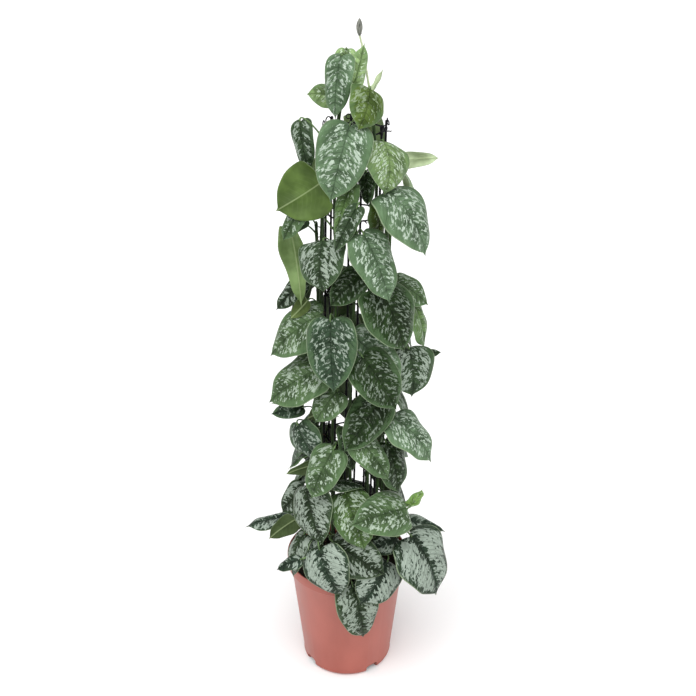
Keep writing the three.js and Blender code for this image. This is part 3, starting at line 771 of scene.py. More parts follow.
@dataclass
class Pot:
    """The moulded nursery pot: a thin tapered wall with a proud rim band and arched notches at its foot."""

    height: float = 249.0
    rim_radius: float = 120.0
    rim_band: float = 22.0
    wall_top_radius: float = 113.0
    foot_radius: float = 89.0
    wall: float = 2.4
    floor: float = 4.0
    chamfer: float = 5.0
    ring_height: float = 7.0
    ring_relief: float = 0.8
    sides: int = 160
    notch_width: float = 28.0
    notch_height: float = 17.0
    notch_depth: float = 50.0
    notch_azimuths: tuple[float, ...] = (35.0, 125.0, 215.0, 305.0)
    notch_round: float = 8.0
    hollow: float = 0.8
    rounded_from: float = 24.0
    rounding: float = 0.7
    crease_angle: float = 40.0

    def wall_radius(self, z: float) -> float:
        """Radius of the outer wall at a height, both in mm."""
        share = z / (self.height - self.rim_band)
        return self.foot_radius + share * (self.wall_top_radius - self.foot_radius)

    def profile(self) -> list[tuple[float, float]]:
        """The half section, from the middle of the underside round to the middle of the floor.

        Returns:
            Radius and height of each corner, in mm.
        """
        band, ring = self.height - self.rim_band, self.ring_height
        lip = self.rim_radius - self.wall
        return [
            (0, self.hollow),
            (self.foot_radius - 16, self.hollow),
            (self.foot_radius - 14, 0),
            (self.foot_radius - self.chamfer, 0),
            (self.wall_radius(self.chamfer), self.chamfer),
            (self.wall_radius(ring), ring),
            (self.wall_radius(ring + 1) + self.ring_relief, ring + 0.6),
            (self.wall_radius(ring + 3) + self.ring_relief, ring + 3),
            (self.wall_radius(ring + 4), ring + 3.6),
            (self.wall_top_radius, band),
            (self.rim_radius - 1.2, band + 0.5),
            (self.rim_radius, band + 2),
            (self.rim_radius, self.height),
            (lip, self.height),
            (lip - 1.0, band + 4),
            (self.wall_top_radius - self.wall, band - 1),
            (self.wall_radius(self.floor + self.chamfer) - self.wall, self.floor + self.chamfer),
            (self.foot_radius - self.chamfer - self.wall, self.floor),
            (0, self.floor),
        ]

    def notch(self, azimuth: float) -> bmesh.types.BMesh:
        """An arched block that cuts through the corner of the foot.

        Args:
            azimuth: Where it cuts.

        Returns:
            The block.
        """
        bm = new_bmesh()
        size = Matrix.Diagonal((self.notch_depth, self.notch_width, 2 * self.notch_height, 1.0))
        place = Matrix.Translation(on_circle(azimuth, self.foot_radius, 0)) @ Matrix.Rotation(
            math.radians(azimuth), 4, "Z"
        )
        bmesh.ops.create_cube(bm, size=1.0, matrix=place @ size)
        outward = on_circle(azimuth, 1, 0)
        tops = []
        for edge in bm.edges:
            heading = (edge.verts[0].co - edge.verts[1].co).normalized()
            if all(vert.co.z > 0 for vert in edge.verts) and abs(heading.dot(outward)) > 0.9:
                tops.append(edge)
        bmesh.ops.bevel(
            bm, geom=tops, offset=self.notch_round, segments=6, affect="EDGES", profile=0.5, material=-1
        )
        return bm

    def notches(self) -> bmesh.types.BMesh:
        """The blocks of all the notches."""
        return join_meshes(self.notch(azimuth) for azimuth in self.notch_azimuths)

    def build(self) -> bpy.types.Object:
        """Makes the pot.

        Returns:
            The piece.
        """
        shell = turned(self.profile(), self.sides)
        inner = self.foot_radius - 20
        sharp = sharp_rings(shell, self.rounded_from)
        rings = [edge for edge in sharp if edge.verts[0].co.xy.length > inner]
        bmesh.ops.bevel(
            shell, geom=rings, offset=self.rounding, segments=3, affect="EDGES", profile=0.5, material=-1
        )
        done = cut_away(shell, self.notches())
        pot = add_piece(done, "nursery_pot", "pot_plastic", [TERRACOTTA_PLASTIC.build()], "pot")
        sharpen(pot, self.crease_angle)
        return pot


def cut_away(body: bmesh.types.BMesh, block: bmesh.types.BMesh) -> bmesh.types.BMesh:
    """Cuts one closed mesh out of another.

    Args:
        body: The mesh that stays, which it uses up.
        block: What is cut out of it, which it uses up.

    Returns:
        The body without the block.
    """
    pieces = []
    for bm in (body, block):
        piece = bpy.data.objects.new("cut", bpy.data.meshes.new("cut"))
        bm.to_mesh(piece.data)
        bm.free()
        bpy.context.scene.collection.objects.link(piece)
        pieces.append(piece)
    cut = pieces[0].modifiers.new("cut", "BOOLEAN")
    cut.operation, cut.object, cut.solver = "DIFFERENCE", pieces[1], "EXACT"
    done = new_bmesh()
    done.from_object(pieces[0], bpy.context.evaluated_depsgraph_get())
    for piece in pieces:
        bpy.data.objects.remove(piece)
    return done


def sharpen(piece: bpy.types.Object, angle: float) -> None:
    """Marks the edges that turn by more than an angle as sharp, so that shading breaks there.

    Args:
        piece: A mesh piece.
        angle: The angle in degrees.
    """
    bm = bmesh.new()
    bm.from_mesh(piece.data)
    for edge in sharp_rings(bm, angle):
        edge.smooth = False
    bm.to_mesh(piece.data)
    bm.free()


@dataclass
class PottingMix:
    """The soil: a cloddy crowned top of peat with chips of bark lying in it."""

    pot: Pot
    top: float = 212.0
    crown: float = 7.0
    play: float = 0.9
    clod_mm: float = 16.0
    clod_height: float = 4.5
    sides: int = 180
    ring_step: float = 3.0
    chips: int = 420
    chip_sizes: tuple[float, float] = (1.6, 5.5)
    chip_seed: int = 77
    bark_share: float = 0.75

    def height_at(self, place: Vector) -> float:
        """Height of the top's surface over a point, all in mm."""
        radius = place.xy.length
        rim = self.pot.wall_radius(self.top) - self.pot.wall - self.play
        share = min(1.0, radius / rim)
        lumps = noise.fractal(Vector((place.x, place.y, 0.0)) / self.clod_mm, 0.8, 2.2, 4)
        return self.top + self.crown * (1 - share**2) + self.clod_height * lumps * min(1.0, 6 * (1 - share))

    def build(self) -> bpy.types.Object:
        """Makes the soil.

        Returns:
            The piece.
        """
        pot, low = self.pot, self.pot.floor + 0.3
        gap = pot.wall + self.play
        rim = pot.wall_radius(self.top) - gap
        profile = [
            (0.0, low),
            (pot.foot_radius - pot.chamfer - gap, low),
            (pot.wall_radius(low + pot.chamfer) - gap, low + pot.chamfer),
        ]
        rings = int(rim / self.ring_step)
        profile += [(rim * (rings - i) / rings, self.top) for i in range(rings + 1)]
        bm = turned(profile, self.sides)
        for vert in bm.verts:
            if vert.co.z > self.top - 1:
                vert.co.z = self.height_at(vert.co)
        whole = join_meshes([cut_away(bm, pot.notches()), *self.bark()])
        return add_piece(whole, "potting_mix", "soil", [DAMP_PEAT.build(), PINE_BARK.build()], "soil")

    def bark(self) -> list[bmesh.types.BMesh]:
        """Chips scattered over the top, half sunk.

        Returns:
            The chips.
        """
        draw = random_draws(self.chip_seed)
        small, large = self.chip_sizes
        rim = self.pot.wall_radius(self.top) - self.pot.wall - self.play - large
        chips = []
        for _ in range(self.chips):
            place = on_circle(360 * draw(), rim * math.sqrt(draw()), self.top)
            size = small + (large - small) * draw() ** 2
            place.z = self.height_at(place) + 0.25 * size
            turn = Quaternion((draw() - 0.5, draw() - 0.5, draw() - 0.5), math.tau * draw()).normalized()
            shape = Vector((size, size * (0.5 + 0.4 * draw()), size * (0.35 + 0.3 * draw())))
            chip = new_bmesh()
            pose = Matrix.LocRotScale(place, turn, shape)
            bmesh.ops.create_icosphere(chip, subdivisions=1, radius=1.0, matrix=pose)
            for face in chip.faces:
                face.material_index = int(draw() < self.bark_share)
            chips.append(chip)
        return chips


# ---- Climbing cage


@dataclass
class Cage:
    """The wire cage: uprights in a ring with hoops tied inside them, all leaning a little towards +X."""

    uprights: int = 8
    first_upright: float = 10.0
    radius: float = 50.0
    wire_radius: float = 2.0
    hoop_wire_radius: float = 1.5
    seat_gap: float = 0.3
    foot: float = 126.0
    top: float = 1118.0
    lean: float = 0.016
    hoop_heights: tuple[float, ...] = (376.0, 521.0, 666.0, 811.0, 961.0, 1104.0)
    tail_azimuths: tuple[float, ...] = (167.0, 290.0, 347.0)
    tail_length: float = 13.0
    tails_from: float = 806.0
    tie_radius: float = 0.65
    tie_pitch: float = 1.6
    tie_turns: float = 2.6
    bow_drop: float = 4.5
    bow_radius: float = 4.6
    bow_turn: float = 1.72
    tail_turns: float = 2.2
    wire_steps: int = 24
    bow_steps: int = 16
    tail_steps: int = 14
    hoop_steps: int = 72

    def lean_at(self, z: float) -> float:
        """How far the cage's axis has moved towards +X at a height, in mm."""
        return self.lean * max(0.0, z - self.foot)

    @property
    def hoop_radius(self) -> float:
        """Radius of a hoop's middle line, just inside the uprights."""
        return self.radius - self.wire_radius - self.seat_gap - self.hoop_wire_radius

    def upright(self, index: int) -> bmesh.types.BMesh:
        """One upright wire, slightly crooked as hand-straightened wire is, with a rounded top.

        Args:
            index: Its number, from 0.

        Returns:
            The wire.
        """
        azimuth = self.first_upright + 360 * index / self.uprights
        steps = self.wire_steps
        path = []
        for i in range(steps + 1):
            z = self.foot + (self.top - self.foot - self.wire_radius) * i / steps
            turn = azimuth + 0.5 * math.sin(i * 0.7 + index)
            path.append(on_circle(turn, self.radius, z, self.lean_at(z)))
        radii = [self.wire_radius] * len(path)
        round_end(path, radii)
        loops = [self.bow_loop(index, azimuth, side) for side in (-1, 1)]
        return join_meshes([sweep(path, radii, 12, 0), *loops])

    def bow_loop(self, index: int, azimuth: float, side: int) -> bmesh.types.BMesh:
        """One of the two loose loops that end the tie round the top of an upright.

        Args:
            index: Number of the upright, from 0.
            azimuth: Where the upright stands.
            side: On which side of it the loop lies, -1 or 1.

        Returns:
            The loop.
        """
        outward, along = on_circle(azimuth, 1, 0), on_circle(azimuth + 90, 1, 0)
        z = self.top - self.bow_drop
        radius = self.bow_radius * (1 + 0.22 * math.sin(2.3 * index + 1.1 * side))
        start = on_circle(azimuth, self.radius + self.wire_radius, z, self.lean_at(z))
        middle = start + along * side * radius
        steps = self.bow_steps
        path = []
        for i in range(steps + 1):
            share = i / steps
            angle = math.pi * (1 - self.bow_turn * share)
            round_it = middle + along * side * radius * math.cos(angle) + UP * radius * math.sin(angle)
            path.append(round_it + outward * radius * 0.6 * share)
        return sweep(path, [self.tie_radius * (1.8 - 0.4 * i / steps) for i in range(steps + 1)], 6, 0)

    def hoop(self, z: float) -> bmesh.types.BMesh:
        """One hoop with the ties that hold it to the uprights.

        Args:
            z: Its height.

        Returns:
            The hoop and its ties.
        """
        middle = Matrix.Translation((self.lean_at(z), 0, z))
        ring = new_bmesh()
        section = Matrix.Translation((self.hoop_radius, 0, 0)) @ Matrix.Rotation(math.pi / 2, 4, "X")
        bmesh.ops.create_circle(ring, segments=10, radius=self.hoop_wire_radius, matrix=section)
        bmesh.ops.spin(
            ring,
            geom=ring.verts[:] + ring.edges[:],
            cent=(0, 0, 0),
            axis=(0, 0, 1),
            steps=self.hoop_steps,
            angle=math.tau,
            use_merge=True,
        )
        bmesh.ops.remove_doubles(ring, verts=ring.verts[:], dist=MERGE)
        bmesh.ops.transform(ring, matrix=middle, verts=ring.verts[:])
        bmesh.ops.recalc_face_normals(ring, faces=ring.faces[:])
        azimuths = [self.first_upright + 360 * i / self.uprights for i in range(self.uprights)]
        parts = [ring, *(self.tie(azimuth, z) for azimuth in azimuths)]
        if z > self.tails_from:
            parts += [self.tail(azimuth, z, side) for azimuth in self.tail_azimuths for side in (0, 1)]
        return join_meshes(parts)

    def tie(self, azimuth: float, z: float) -> bmesh.types.BMesh:
        """A few turns of thin wire round an upright and the hoop inside it.

        Args:
            azimuth: Where the upright stands.
            z: Height of the hoop.

        Returns:
            The tie.
        """
        outward = on_circle(azimuth, 1, 0)
        along = on_circle(azimuth + 90, 1, 0)
        middle = (self.radius + self.wire_radius + self.hoop_radius - self.hoop_wire_radius) / 2
        depth = (self.radius + self.wire_radius) - middle + self.tie_radius * 0.6
        width = self.wire_radius + self.tie_radius * 0.8
        steps = int(self.tie_turns * 10)
        path = []
        for i in range(steps + 1):
            angle = math.tau * self.tie_turns * i / steps
            rise = (i / steps - 0.5) * self.tie_turns * self.tie_pitch
            place = on_circle(azimuth, middle, z + rise, self.lean_at(z))
            path.append(place + outward * depth * math.cos(angle) + along * width * math.sin(angle))
        return sweep(path, [self.tie_radius] * len(path), 5, 0)

    def tail(self, azimuth: float, z: float, side: int) -> bmesh.types.BMesh:
        """One of the two twisted ends of a tie, which stand out from the cage.

        Args:
            azimuth: Where they stand out.
            z: Height of the hoop.
            side: Which of the two, 0 or 1.

        Returns:
            The end.
        """
        outward, along = on_circle(azimuth, 1, 0), on_circle(azimuth + 90, 1, 0)
        start = on_circle(azimuth, self.hoop_radius, z, self.lean_at(z))
        steps = self.tail_steps
        path = []
        for i in range(steps + 1):
            share = i / steps
            angle = math.pi * side + self.tail_turns * math.tau * share
            spread = 0.75 + 1.6 * max(0.0, share - 0.7)
            twist = along * math.cos(angle) * spread + UP * math.sin(angle) * spread
            path.append(start + outward * (self.tail_length * share) + twist)
        return sweep(path, [self.tie_radius * (1.15 - 0.4 * i / steps) for i in range(steps + 1)], 6, 0)

    def build(self) -> list[bpy.types.Object]:
        """Makes every wire.

        Returns:
            The pieces.
        """
        vinyl = VINYL_ON_WIRE.build()
        pieces = []
        for kind, shape, wires in (
            ("upright", self.upright, range(self.uprights)),
            ("hoop", self.hoop, self.hoop_heights),
        ):
            for number, wire in enumerate(wires, start=1):
                name, node = f"{kind}_wire_{number}", f"cage_{kind}_{number}"
                pieces.append(add_piece(shape(wire), name, "coated_wire", [vinyl], node))
        return pieces


CAGE = Cage()


# ---- Leaves


class Tone(Enum):
    """How a leaf has coloured: the green of its skin, its share of silver and how light the silver is."""

    # The tones were matched to how each leaf looked, so beside its own colour some carry painted light and
    # shade: a few leaves that fall in shade have a lighter tone, and a few seen in shade a darker one.
    SILVER = ("#2A3B2D", 0.82, 0.42)
    MOTTLED = ("#2A3A24", 0.70, 0.38)
    DENSE = ("#35482F", 0.60, 0.42)
    FLECKED = ("#435939", 0.46, 0.44)
    BLUE = ("#354A36", 0.42, 0.40)
    GREEN = ("#4A663E", 0.40, 0.44)
    # This tone is darkened because its one leaf lies half in shade: painted shade over a glossy young green.
    GLOSSY_SHADED = ("#4A6622", 0.12, 0.25)
    DARK = ("#223716", 0.38, 0.26)
    BRIGHT = ("#67864E", 0.34, 0.42)
    LIGHT = ("#78925D", 0.46, 0.52)
    YOUNG = ("#84A957", 0.10, 0.40)
    SPRING = ("#A9C987", 0.46, 0.62)
    OLIVE = ("#3F5216", 0.26, 0.22)
    MOSS = ("#586F30", 0.42, 0.24)
    CREAM = ("#DFEFC8", 0.20, 0.40)
    PALE = ("#5F785A", 0.45, 0.56)
    FRESH = ("#526A45", 0.44, 0.48)
    LIME = ("#55703D", 0.60, 0.48)


class Finish(Enum):
    """Material indices of a leafy stem's faces."""

    UPPER = 0
    UNDER = 1
    EDGE = 2
    STALK = 3
    VINE = 4
    ROOT = 5
    FURLED = 6
    SHOOT = 7


Row = tuple[tuple[float, float, float], tuple[float, float, float], float, float, float, Tone]


@dataclass(frozen=True)
class BladeForm:
    """The shape that every blade shares, for a blade one unit long."""

    cup: float = 0.065
    rib_ease: float = 1.15
    belly: float = 0.395
    face_out: float = 0.8
    face_up: float = 0.6
    vein_lean: float = 0.35
    vein_curve: float = 1.1
    ruffle: float = 0.04
    waves: float = 2.4
    other_half: float = 0.31
    thickness: float = 0.6
    groove: float = 0.8
    groove_width: float = 2.2
    pucker: float = 0.24
    pucker_from: float = 9.0
    pillow: float = 0.036
    pillow_ease: float = 0.8
    recurve: float = 0.09
    recurve_to: float = 0.16
    lobe: float = 0.07
    rows: int = 36
    columns: int = 22
    outline: tuple[tuple[float, float], ...] = (
        (0.0, 0.0),
        (0.08, -0.05),
        (0.2, -0.065),
        (0.325, 0.01),
        (0.395, 0.18),
        (0.395, 0.39),
        (0.345, 0.6),
        (0.245, 0.8),
        (0.11, 0.925),
        (0.028, 0.985),
        (0.0, 1.05),
    )


@dataclass(frozen=True)
class StalkForm:
    """How every stalk rises and swells: shares of its own length, and radii in mm."""

    outwards: float = 0.25
    upwards: float = 0.4
    along_rib: float = 0.35
    rib_at: float = 0.14
    radius: float = 1.25
    sheath_to: float = 0.45
    swelling: float = 0.45
    swelling_at: float = 0.93
    swelling_width: float = 0.05
    joins_at: float = 0.05
    under: float = 0.9
    steps: int = 14
    sides: int = 8


FORM = BladeForm()
STALK = StalkForm()


class Leaf:
    """One leaf, stood between the point where its stalk meets the blade and its tip."""

    def __init__(self, row: Row, seed: float) -> None:
        """Places the leaf.

        Args:
            row: Its base, tip, roll about the line between them in degrees, width ratio, sag of the rib in
                radians and tone.
            seed: A number of the leaf's own, from 0 to 1.
        """
        base, tip, roll, self.wide, self.sag, self.tone = row
        self.base = Vector(base)
        self.seed = seed
        chord = Vector(tip) - self.base
        self.length = chord.length * self.sag / 2 / math.sin(self.sag / 2)
        ahead = chord.normalized()
        face = Vector((self.base.x, self.base.y, 0)).normalized() * FORM.face_out + UP * FORM.face_up
        face = (face - ahead * face.dot(ahead)).normalized()
        face.rotate(Quaternion(ahead, math.radians(roll)))
        side = ahead.cross(face)
        turn = Matrix((side, ahead, face)).transposed().to_4x4()
        self.place = Matrix.Translation(self.base) @ turn @ Matrix.Rotation(self.sag / 2, 4, "X")

    def flat(self, along: float, across: float) -> Vector:
        """A point of the blade before it bends, cupped and waved.

        Args:
            along: From 0 at the notch to 1 at the tip, counted on the margin.
            across: From -1 at one margin to 1 at the other.

        Returns:
            The point in the leaf's own mm.
        """
        margin = through([Vector(point) for point in FORM.outline], along)
        side = abs(across)
        x = margin.x * across * self.length * self.wide
        y = (along**FORM.rib_ease * (1 - side) + margin.y * side) * self.length
        z = -FORM.cup * self.length * (side * margin.x / FORM.belly) ** 2
        phase = math.tau * (self.seed + (FORM.other_half if across > 0 else 0.0))
        waves = math.sin(phase + math.tau * (FORM.waves + self.seed) * along) * (margin.x / FORM.belly)
        z += FORM.ruffle * self.length * side**3 * waves
        z -= FORM.groove * math.exp(-((x / FORM.groove_width) ** 2)) * (1 - along)
        spot, reach = self.vein_place(x, y)
        swell = 1 - math.exp(-((reach / FORM.pucker_from) ** 2))
        z -= FORM.pucker * swell * (1 - side**2) * math.cos(math.tau * spot / VEIN_SPACING)
        z += FORM.pillow * self.length * math.sin(math.pi * side**FORM.pillow_ease) * margin.x / FORM.belly
        lobe = max(0.0, 1 - (y / self.length + FORM.lobe) / (FORM.recurve_to + FORM.lobe))
        z -= FORM.recurve * self.length * lobe**2 * side
        return Vector((x, y, z))

    def vein_place(self, x: float, y: float) -> tuple[float, float]:
        """Where a point of the flat blade lies among its side veins.

        Args:
            x: Distance from the rib in mm.
            y: Distance along it in mm.

        Returns:
            Where the point's vein leaves the rib, and how far out the point is, in mm.
        """
        share = abs(x) / self.length
        back = (FORM.vein_lean * share + FORM.vein_curve * share**2) * self.length
        return y - back, x * 1.1

    def bent(self, flat: Vector) -> Vector:
        """The place in the plant of a point of the flat blade, in mm."""
        radius = self.length / self.sag
        angle = flat.y / radius
        reach = radius + flat.z
        return self.place @ Vector((flat.x, reach * math.sin(angle), reach * math.cos(angle) - radius))

    def blade(self) -> bmesh.types.BMesh:
        """Makes the blade as a thin closed plate.

        Returns:
            The blade.
        """
        bm = new_bmesh()
        blade_map, vein_map = bm.loops.layers.uv["blade"], bm.loops.layers.uv["veins"]
        ground, flecking = bm.verts.layers.float_color["ground"], bm.verts.layers.float_color["flecking"]
        colour, share, light = self.tone.value
        bmesh.ops.create_grid(bm, x_segments=FORM.columns, y_segments=FORM.rows, size=0.5)
        maps = {}
        for vert in bm.verts:
            across, along = 2 * vert.co.x, vert.co.y + 0.5
            flat = self.flat(along, across)
            maps[vert] = ((abs(across), along), self.vein_place(flat.x, flat.y))
            vert[ground] = linear(colour)
            vert[flecking] = (share, light, self.seed, 1.0)
            vert.co = self.bent(flat)
        for face in bm.faces:
            for loop in face.loops:
                loop[blade_map].uv, loop[vein_map].uv = maps[loop.vert]
        bmesh.ops.remove_doubles(bm, verts=bm.verts[:], dist=MERGE)
        bm.normal_update()
        for vert in bm.verts:
            vert.co += vert.normal * FORM.thickness / 2
        upper_faces, upper_verts = set(bm.faces), set(bm.verts)
        bmesh.ops.solidify(bm, geom=bm.faces[:] + bm.edges[:] + bm.verts[:], thickness=FORM.thickness)
        for face in bm.faces:
            if face in upper_faces:
                face.material_index = Finish.UPPER.value
            elif any(vert in upper_verts for vert in face.verts):
                face.material_index = Finish.EDGE.value
            else:
                face.material_index = Finish.UNDER.value
        return bm

    def stalk(self, root: Vector) -> bmesh.types.BMesh:
        """Makes the stalk, which leaves the vine upwards and outwards and runs on into the line of the rib.

        Args:
            root: A point in the middle of the vine.

        Returns:
            The stalk, sheathed at its foot and swollen at the blade.
        """
        reach = (self.base - root).length
        outward = Vector((self.base.x - root.x, self.base.y - root.y, 0)).normalized()
        leave = root + outward * reach * STALK.outwards + UP * reach * STALK.upwards
        rib = (self.bent(self.flat(STALK.rib_at, 0.0)) - self.base).normalized()
        arrive = self.base - rib * reach * STALK.along_rib
        path, radii = [], []
        for i in range(STALK.steps + 1):
            t = i / STALK.steps
            points = (root, leave, arrive, self.base)
            shares = ((1 - t) ** 3, 3 * t * (1 - t) ** 2, 3 * t**2 * (1 - t), t**3)
            path.append(sum((point * share for point, share in zip(points, shares)), Vector((0, 0, 0))))
            swelling = STALK.swelling * math.exp(-(((t - STALK.swelling_at) / STALK.swelling_width) ** 2))
            radii.append(STALK.radius + 1.0 * max(0.0, STALK.sheath_to - t) + swelling)
        under = self.place.to_3x3() @ Vector((0.0, 0.0, -STALK.under))
        end = self.bent(self.flat(STALK.joins_at, 0.0)) + under
        path += [path[-1].lerp(end, 0.5), end]
        radii += [1.0, 0.5]
        return sweep(path, radii, STALK.sides, Finish.STALK.value)


# Leaves of the front and the sides, one list for each stem. A row holds the point where the stalk meets the
# blade, the tip, the roll in degrees, the width ratio, the sag of the rib in radians and the tone.
FRONT_LEAVES: tuple[Row, ...] = (
    ((5, -84, 1132), (-25, -110, 1019), 5, 0.92, 0.6, Tone.PALE),
    ((8, -80, 1034), (-17, -96, 952), 28, 0.5, 0.5, Tone.BRIGHT),
    ((16, -112, 1007), (-19, -117, 935), 14, 0.5, 0.4, Tone.DENSE),
    ((27, -108, 961), (69, -130, 854), -5, 0.78, 0.6, Tone.PALE),
    ((25, -72, 878), (-27, -86, 826), 15, 0.9, 0.5, Tone.DARK),
    ((10, -81, 768), (92, -98, 689), 6, 0.85, 0.6, Tone.PALE),
    ((27, -115, 743), (84, -128, 651), 3, 0.95, 0.7, Tone.DARK),
    ((16, -98, 579), (74, -120, 500), -15, 0.75, 0.5, Tone.FRESH),
    ((-1, -82, 583), (10, -87, 497), -26, 0.6, 0.4, Tone.DARK),
    ((-3, -99, 455), (32, -140, 360), -4, 0.9, 0.8, Tone.LIME),
    ((-28, -118, 361), (68, -140, 303), 2, 0.9, 1.1, Tone.MOTTLED),
    ((11, -142, 275), (31, -144, 155), -8, 0.82, 0.9, Tone.MOTTLED),
)
FRONT_RIGHT_LEAVES: tuple[Row, ...] = (
    ((9, -42, 1179), (27, -35, 1244), 16, 0.6, 0.3, Tone.SPRING),
    ((41, 0, 1166), (58, 10, 1198), 40, 0.85, 0.2, Tone.CREAM),
    ((36, -57, 1183), (19, -95, 1128), -11, 1.2, 0.9, Tone.MOSS),
    ((58, -54, 1099), (61, -91, 1024), -1, 1.3, 1.3, Tone.LIGHT),
    ((32, -64, 1051), (34, -74, 999), 60, 0.8, 0.4, Tone.DARK),
    ((51, -64, 997), (50, -67, 932), -4, 0.75, 0.5, Tone.OLIVE),
    ((54, -90, 858), (96, -112, 756), 0, 1.15, 0.7, Tone.DARK),
    ((64, -84, 648), (-3, -122, 561), 15, 0.8, 0.4, Tone.DARK),
    ((95, -88, 347), (44, -104, 327), 5, 1, 0.7, Tone.SILVER),
    ((77, -113, 310), (26, -155, 244), -7, 1.25, 1, Tone.SILVER),
)
FRONT_LEFT_LEAVES: tuple[Row, ...] = (
    ((-9, -44, 1230), (-18, -58, 1138), 10, 0.66, 0.6, Tone.PALE),
    ((-1, -10, 1234), (-5, -17, 1176), -6, 0.75, 0.8, Tone.SPRING),
    ((-77, -52, 981), (-105, -63, 935), -30, 0.8, 0.5, Tone.FRESH),
    ((-14, -2, 1157), (-63, -8, 1163), -45, 1.15, 0.6, Tone.LIGHT),
    ((-40, -60, 1033), (-113, -64, 987), 150, 1.35, 1.1, Tone.GLOSSY_SHADED),
    ((-39, -73, 938), (-39, -109, 862), 5, 1.25, 1.2, Tone.DENSE),
    ((-28, -108, 808), (-22, -144, 694), 0, 0.92, 0.5, Tone.BLUE),
    ((-47, -80, 704), (-135, -84, 640), 10, 1.1, 0.6, Tone.FRESH),
    ((-16, -94, 666), (-54, -114, 616), 5, 1.1, 0.9, Tone.FRESH),
    ((-22, -70, 618), (-70, -68, 596), 150, 0.9, 0.6, Tone.DARK),
    ((-24, -111, 556), (-63, -134, 470), 10, 0.9, 0.6, Tone.FRESH),
    ((-48, -62, 494), (-112, -66, 475), 120, 0.6, 0.4, Tone.DARK),
    ((-31, -82, 463), (30, -94, 463), -60, 0.9, 0.4, Tone.DENSE),
    ((-74, -83, 457), (-46, -136, 370), 5, 1.05, 0.6, Tone.MOTTLED),
    ((-81, -96, 360), (-102, -117, 280), 21, 0.9, 0.8, Tone.MOTTLED),
    ((-86, -140, 335), (-129, -144, 315), 20, 0.8, 0.6, Tone.SILVER),
    ((-54, -100, 361), (-94, -118, 323), 20, 0.9, 0.6, Tone.SILVER),
    ((-51, -143, 361), (-11, -168, 277), 12, 1.15, 1, Tone.SILVER),
)
RIGHT_FRONT_LEAVES: tuple[Row, ...] = (
    ((67, -70, 1022), (128, -95, 923), -5, 1.15, 0.9, Tone.PALE),
    ((81, -36, 850), (139, -44, 810), 15, 1.1, 0.6, Tone.FRESH),
    ((109, -61, 733), (115, -84, 652), 30, 1.35, 0.9, Tone.DENSE),
    ((43, -68, 613), (65, -78, 575), 130, 0.8, 0.5, Tone.CREAM),
    ((83, -70, 599), (151, -96, 524), -5, 1.05, 0.9, Tone.PALE),
    ((74, -30, 548), (117, -42, 514), -20, 0.8, 0.5, Tone.DARK),
    ((71, -75, 549), (94, -94, 456), 1, 1, 0.6, Tone.DARK),
    ((113, -98, 421), (10, -154, 423), 10, 0.9, 0.8, Tone.FRESH),
    ((118, -60, 396), (141, -62, 436), -15, 1, 0.4, Tone.YOUNG),
    ((121, -97, 357), (170, -125, 244), 3, 1.25, 1, Tone.SILVER),
)
LEFT_FRONT_LEAVES: tuple[Row, ...] = (
    ((-76, -18, 1122), (-62, -36, 1044), -40, 0.62, 0.5, Tone.DENSE),
    ((-67, -50, 820), (-97, -52, 787), 144, 0.75, 0.6, Tone.OLIVE),
    ((-46, -62, 800), (-132, -56, 719), 7, 1, 0.5, Tone.FRESH),
    ((-66, -22, 717), (-94, -24, 690), 40, 0.8, 0.4, Tone.LIGHT),
    ((-90, -62, 579), (-46, -73, 507), 5, 1.05, 0.8, Tone.BLUE),
    ((-66, -40, 512), (-109, -53, 478), 35, 0.8, 0.4, Tone.DARK),
    ((-82, -40, 428), (-123, -50, 378), -20, 1.1, 0.6, Tone.MOTTLED),
    ((-97, -62, 370), (-148, -72, 333), 120, 0.8, 0.6, Tone.DARK),
)
RIGHT_LEAVES: tuple[Row, ...] = (
    ((85, -5, 1052), (149, -30, 1064), -60, 0.5, 0.6, Tone.CREAM),
    ((115, -29, 807), (138, -25, 720), 12, 0.95, 0.5, Tone.BRIGHT),
    ((118, -12, 693), (170, -12, 701), 40, 0.5, 0.4, Tone.MOTTLED),
    ((96, -34, 348), (187, -48, 332), -10, 0.7, 0.6, Tone.SILVER),
)
LEFT_LEAVES: tuple[Row, ...] = (
    ((-70, -18, 957), (-110, -8, 903), 8, 0.9, 0.5, Tone.DENSE),
    ((-95, -42, 949), (-79, -52, 815), 140, 0.42, 0.3, Tone.LIGHT),
    ((-76, -20, 843), (-123, -22, 791), -40, 0.7, 0.4, Tone.MOTTLED),
    ((-84, -27, 634), (-139, -18, 598), 21, 0.8, 0.4, Tone.BLUE),
    ((-81, -30, 597), (-138, -34, 585), -40, 0.7, 0.4, Tone.BLUE),
    ((-91, -26, 347), (-196, -22, 324), 20, 0.7, 0.5, Tone.SILVER),
)

# Stems of the back: where each stands, the heights of its leaves and of the one that hangs over the rim.
BACK_STEMS = (
    (30, (368, 461, 554, 647, 740, 833, 1036), 286),
    (60, (414, 507, 600, 693, 786, 874), 280),
    (90, (368, 461, 554, 647, 740, 833, 1116), 288),
    (120, (414, 507, 600, 693, 786, 874), 280),
    (150, (368, 461, 554, 647, 740, 833, 1046), 286),
)
RIGHT_SHINGLES = (446, 541, 636, 786)
LEFT_SHINGLES = (446, 541, 696, 786)
SHOOT = ((35, -24, 1181), (26, -20, 1232), (20, -18, 1257))


# ---- Leafy stems


